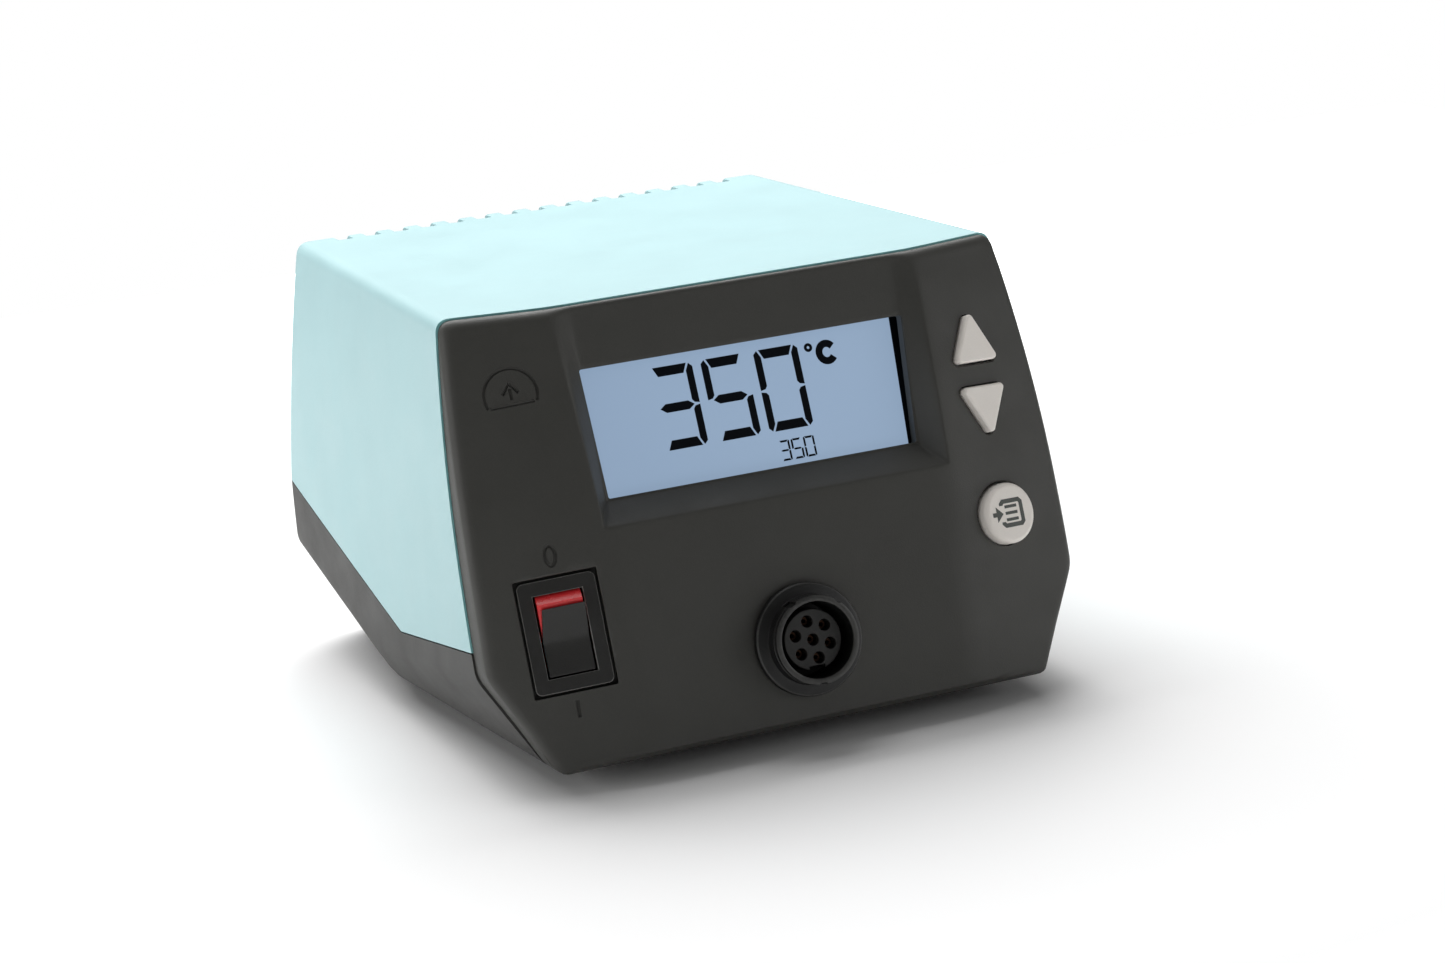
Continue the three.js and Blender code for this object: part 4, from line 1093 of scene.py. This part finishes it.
def rocker_cap(face, under):
    """The black plate over the rocker, a little skewed towards its raised end, with a painted highlight along
    its upper edge.
    """
    plate_cap = across(face + under[::-1], ROCKER["width"] / 2)
    for vertex in plate_cap.data.vertices:
        lift = max(vertex.co.y, 0) / face[-1][0]
        vertex.co.x += lift * (ROCKER["narrowed"] if vertex.co.x < 0 else ROCKER["widened"])
    soften(plate_cap, 0.2, angle=40)
    # Painted highlight: the cap's edge that faces up towards its raised end gets the lighter black.
    paint_light_shade_and_wear(plate_cap, lambda normal, centre: min(normal.y, normal.z) > 0.3)
    looks = ["black_plastic", "edge_highlight_plastic"]
    moved(plate_cap, ROCKER_FRAME)
    finish_piece(plate_cap, "rocker_cap", [], "rocker_plastic", looks, body="switch_rocker")


def rocker_body(under):
    """The red body with its pivot pin, cut off inside the cap at its lower end."""
    radius, height = ROCKER["radius"], under[-1][1]
    start = math.atan2(height, math.sqrt(radius**2 - height**2))
    lower = [polar(radius, a) for a in np.linspace(start, math.radians(6), 10)] + [(3.0, -2.2)]
    outline = under[1:-1] + lower + [(max(-y, under[1][0]), z) for y, z in lower[::-1]]
    body = across(outline, ROCKER["width"] / 2 - 0.12)
    pin = stacked(circle(1.15, 24), [(0, -5.8), (0, 5.8)])
    boolean(body, [moved(pin, ALONG_X)], "UNION")
    moved(soften(body, 0.3, angle=35), ROCKER_FRAME)
    node = "switch_rocker"
    finish_piece(body, "rocker_body", [node], "rocker_plastic", ["rocker_red"], body=node)


def switch_rocker():
    cap_depth = 0.75
    under = rocker_face(cap_depth)
    rocker_cap(rocker_face(0), under)
    rocker_body(under)


# --- tool socket
def socket_shell():
    """Flange and collar turned round one axis, with three grooves for the plug's coupling ring."""
    bore, collar, flange, rim = (SOCKET[key] for key in ("bore", "collar", "flange", "rim"))
    neck, lip = collar - 0.22, collar - 0.04
    profile = [(bore, -9), (collar - 0.6, -9), (collar - 0.6, 0.3), (flange, 0.3), (flange, 1.35)]
    profile += [(flange - 0.12, 1.6), (flange - 0.4, 1.78), (flange - 0.9, 1.85), (collar + 0.5, 2.0)]
    profile += [(collar + 0.12, 2.15), (collar, 2.5), (collar, 4.6), (neck, 4.75), (neck, 5.0)]
    profile += [(lip, 5.15), (lip, rim - 0.4), (collar - 0.12, rim - 0.12), (collar - 0.4, rim)]
    profile += [(bore + 0.35, rim), (bore + 0.1, rim - 0.1), (bore, rim - 0.35)]
    shell = turned(profile, 96, closed=True)
    grooves = []
    for angle in (118, 52, 268):
        tool = stacked(rectangle(1.7, 2.4, 0.4), [(0, 2.6), (0, rim + 1)])
        grooves.append(moved(tool, turn(angle - 90, "Z") @ shift(0, collar + 0.75)))
    boolean(shell, grooves)
    # The rim's face: abrasion and a painted highlight; the flange's rounded edge: a painted highlight.
    paint_light_shade_and_wear(shell, lambda normal, centre: normal.z > 0.3 and centre.z > rim - 0.3)
    paint_light_shade_and_wear(shell, lambda normal, centre: 0.45 < normal.z < 0.9 and 1.5 < centre.z < 1.75)
    moved(shell, SOCKET_FRAME)
    looks = ["socket_plastic", "rim_wear_and_highlight"]
    finish_piece(shell, "socket_shell_turned", ["socket_shell"], "black_plastic", looks)


def contact_places():
    angles = [math.radians(100 + 360 * i / CONTACTS["count"]) for i in range(CONTACTS["count"])]
    return [(0, 0)] + [polar(CONTACTS["ring"], a) for a in angles]


def socket_insert():
    face = 3.3
    disc = cap(circle(SOCKET["insert"], 72), -4, face, 0.25, steps=3)
    base = stacked(circle(SOCKET["bore"] - GAP, 72), [(0, -9), (0, -3)])
    boolean(disc, [base], "UNION")
    holes = []
    for x, y in contact_places():
        hole = flared(circle(CONTACTS["hole"], 24), 16, 0.16, z=face)
        holes.append(moved(hole, shift(x, y)))
    keyway = box((-1.75, -SOCKET["insert"] - 1, -2.9), (1.75, -SOCKET["insert"] + 1.0, 9))
    boolean(disc, [join(holes), keyway])
    moved(disc, SOCKET_FRAME)
    finish_piece(disc, "socket_insert_disc", ["socket_insert"], "black_plastic", ["insert_plastic"])


# --- rear sockets
CAVITY_Y = -2.6
DRAWER = {"y": 9.4, "width": 20.0, "height": 7.4, "length": 21.0}


def mains_inlet():
    """An appliance inlet: flange, body behind the wall, plug cavity and the fuse drawer's pocket."""
    flange = cap(rectangle(INLET["flange"], INLET["flange"], 2), GAP, 1.8, 0.5)
    body = stacked(rectangle(INLET["width"], INLET["width"], 0.8), [(0, -22), (0, 1)])
    boolean(flange, [body], "UNION")
    corners = [(11.4, 5.0), (-11.4, 5.0), (-11.4, -4.3), (-8.2, -7.6), (8.2, -7.6), (11.4, -4.3)]

    def mouth(offset=0.0):
        return arc_corners(corners, 0.6, offset)

    pocket = rectangle(DRAWER["width"] + 0.6, DRAWER["height"] + 0.6, 0.4)
    cutters = [
        moved(flared(mouth, 17.3, 0.4, z=1.8), shift(0, CAVITY_Y)),
        moved(flared(pocket, 22.8, 0.2, z=1.8), shift(0, DRAWER["y"])),
    ]
    boolean(flange, cutters)
    moved(flange, INLET_FRAME)
    finish_piece(flange, "mains_inlet_body", ["mains_inlet"], "black_plastic")


def inlet_pins():
    """Three flat pins with chamfered tips."""
    places = {"line": (-7, -1, -2.5), "neutral": (7, -1, -2.5), "earth": (0, 2.6, 0)}
    for name, (x, y, front) in places.items():
        outline = rectangle(2, 4, 0.3)
        levels = [(0, -29), (0, front - 1.4), (-0.25, front - 0.5), (-0.7, front)]
        pin = moved(stacked(outline, levels), INLET_FRAME @ shift(x, CAVITY_Y + y))
        node = f"inlet_pin_{name}"
        finish_piece(pin, f"{node}_blade", [node], "pin_nickel")


def fuse_drawer():
    """The drawer's front with a finger catch, and its tray with a bed for the fuse."""
    width, height, length = DRAWER["width"], DRAWER["height"], DRAWER["length"]
    drawer = cap(rectangle(width, height, 0.5), 1.5 - length, 2.1, 0.35)
    bed = box((1.4 - width / 2, -2.9, -17), (width / 2 - 1.4, height / 2 + 1, -9.6))
    catch = flared(rectangle(8, 2.6, 0.5), 1.6, 0.25, z=2.1)
    boolean(drawer, [bed, moved(catch, shift(0, 0.6 - height / 2))])
    moved(drawer, INLET_FRAME @ shift(0, DRAWER["y"]))
    finish_piece(drawer, "fuse_drawer_tray", ["fuse_drawer"], "black_plastic", body="fuse_drawer")


def bonding_jack():
    profile = [(3.8, -11), (3.8, 0.3), (5.4, 0.3), (5.4, 1.2), (5.2, 1.5), (4.9, 1.6), (3.4, 1.6)]
    profile += [(3.2, 1.35), (2.5, 1.35), (2.05, 1.1), (2.05, -8)]
    jack = moved(turned(profile), rear_frame(JACK["x"], JACK["h"]))
    finish_piece(jack, "bonding_jack_turned", ["bonding_jack"], "pin_nickel")


# --- feet and screws
def feet():
    for corner in range(1, 5):
        node = f"foot_{corner}"
        place, radius, low, high = under_floor(node)
        profile = [(radius, high), (radius - 0.1, low + 1.6), (radius - 0.35, low + 0.7)]
        profile += [(radius - 0.8, low + 0.2), (radius - 1.4, low), (2.4, low), (2.0, low + 0.5)]
        foot = moved(turned(profile, 48), place)
        finish_piece(foot, f"{node}_moulded", [node], "foot_rubber")


def housing_screws():
    """Pan-head screws with a cross recess, seen from below in their recesses."""
    for corner in range(1, 5):
        node = f"housing_screw_{corner}"
        place, head, low, high = under_floor(node)
        profile = [(1.4, high), (1.5, low + 2), (head, low + 2), (head, low + 1)]
        profile += [(head - 0.5, low + 0.25), (head - 1.5, low)]
        screw = turned(profile, 40)
        for x, y in ((1.7, 0.4), (0.4, 1.7)):
            boolean(screw, [box((-x, -y, low - 1), (x, y, low + 1.1))])
        finish_piece(moved(screw, place), f"{node}_pan_head", [node], "screw_steel")


# --- pieces kept as they are in the CAD model
def dress_cad_nodes():
    """Every CAD node that still shows gets the finished material of its slot."""
    slots = {part["node"]: part["material_slot"] for part in frame["record"]["subparts"]}
    for name, node in frame["nodes"].items():
        if node.hide_render:
            continue
        for place in node.material_slots:
            place.material = MATERIALS[slots[name]]


# --- stage, light and camera
def floor():
    """White paper that fades into its surroundings away from the unit: from a short way out it glows more and
    more, painted light.
    """
    reach = 0.55
    corners = [(-reach, -reach, 0), (reach, -reach, 0), (reach, reach, 0), (-reach, reach, 0)]
    ground = mesh_object(corners, [(0, 1, 2, 3)])
    ground.name = "floor"
    nodes = Nodes("floor_white")
    cloud = nodes.blend(nodes.noise(3, 2), (0.9, 0.9, 0.9, 1), (0.93, 0.93, 0.93, 1))
    distance = nodes.add("ShaderNodeVectorMath", {0: nodes.place}, operation="LENGTH").outputs["Value"]
    # Painted light: the floor's own glow, none near the unit and full from half a metre on.
    glow = nodes.between(distance, 0, 1, 0.22, 0.5)
    nodes.set(Emission_Color=(1, 1, 1, 1), Emission_Strength=glow)
    nodes.set(Base_Color=cloud, Roughness=0.7)
    ground.data.materials.append(nodes.material)


def area_light(name, place, target, size, power):
    data = bpy.data.lights.new(name, "AREA")
    data.shape = "RECTANGLE"
    data.size, data.size_y = size
    data.energy = power
    light = new_object(name, data)
    light.location = place
    light.rotation_euler = (Vector(target) - Vector(place)).to_track_quat("-Z", "Y").to_euler()


WORLD_LIGHT = 0.13  # how bright the surroundings are for everything but the camera


def studio():
    """White paper all round, two softboxes above, one of them well behind, and a weak fill at each side."""
    world = bpy.data.worlds.new("studio")
    world.use_nodes = True
    tree = world.node_tree
    background = tree.nodes["Background"]
    background.inputs["Color"].default_value = (1, 1, 1, 1)
    strength = tree.nodes.new("ShaderNodeMapRange")
    strength.inputs["To Min"].default_value = WORLD_LIGHT
    seen = tree.nodes.new("ShaderNodeLightPath").outputs["Is Camera Ray"]
    tree.links.new(seen, strength.inputs["Value"])
    tree.links.new(strength.outputs["Result"], background.inputs["Strength"])
    bpy.context.scene.world = world
    bpy.context.scene.view_settings.view_transform = "Standard"
    area_light("overhead", (0, 0.74, 1.0), (0, 0.1, 0), (1.4, 0.8), 20)
    area_light("left_fill", (-0.9, 0.05, 0.3), (0, 0.03, 0.05), (0.5, 0.4), 2.0)
    area_light("right_fill", (0.8, -0.6, 0.3), (0.03, -0.05, 0.05), (0.4, 0.4), 1.3)
    area_light("top", (0, 0.25, 1.1), (0, 0, 0.05), (0.7, 0.4), 3.5)


def camera():
    """The view of somebody who stands at the left of the unit and looks slightly down at it."""
    azimuth, elevation = math.radians(-21.5), math.radians(14.04)
    roll = -5.06
    right = Vector((*polar(1, azimuth), 0))
    away, rise = polar(1, elevation)
    back = Vector((right.y * away, -right.x * away, rise))
    eye = TO_WORLD @ Vector((-254.6, -604.6, 217.0))
    data = bpy.data.cameras.new("camera")
    data.lens = 85.35
    data.sensor_width = 36.0
    data.clip_start = 0.05
    made = new_object("camera", data)
    made.matrix_world = frame_of(right, back.cross(right), back, eye) @ turn(roll, "Z")
    bpy.context.scene.camera = made


make_materials()
camera()
front_panel()
top_cover()
bottom_shell()
display_segments()
display_edge_shade()
buttons()
switch_housing()
switch_rocker()
socket_shell()
socket_insert()
mains_inlet()
inlet_pins()
fuse_drawer()
bonding_jack()
feet()
housing_screws()
dress_cad_nodes()
floor()
studio()
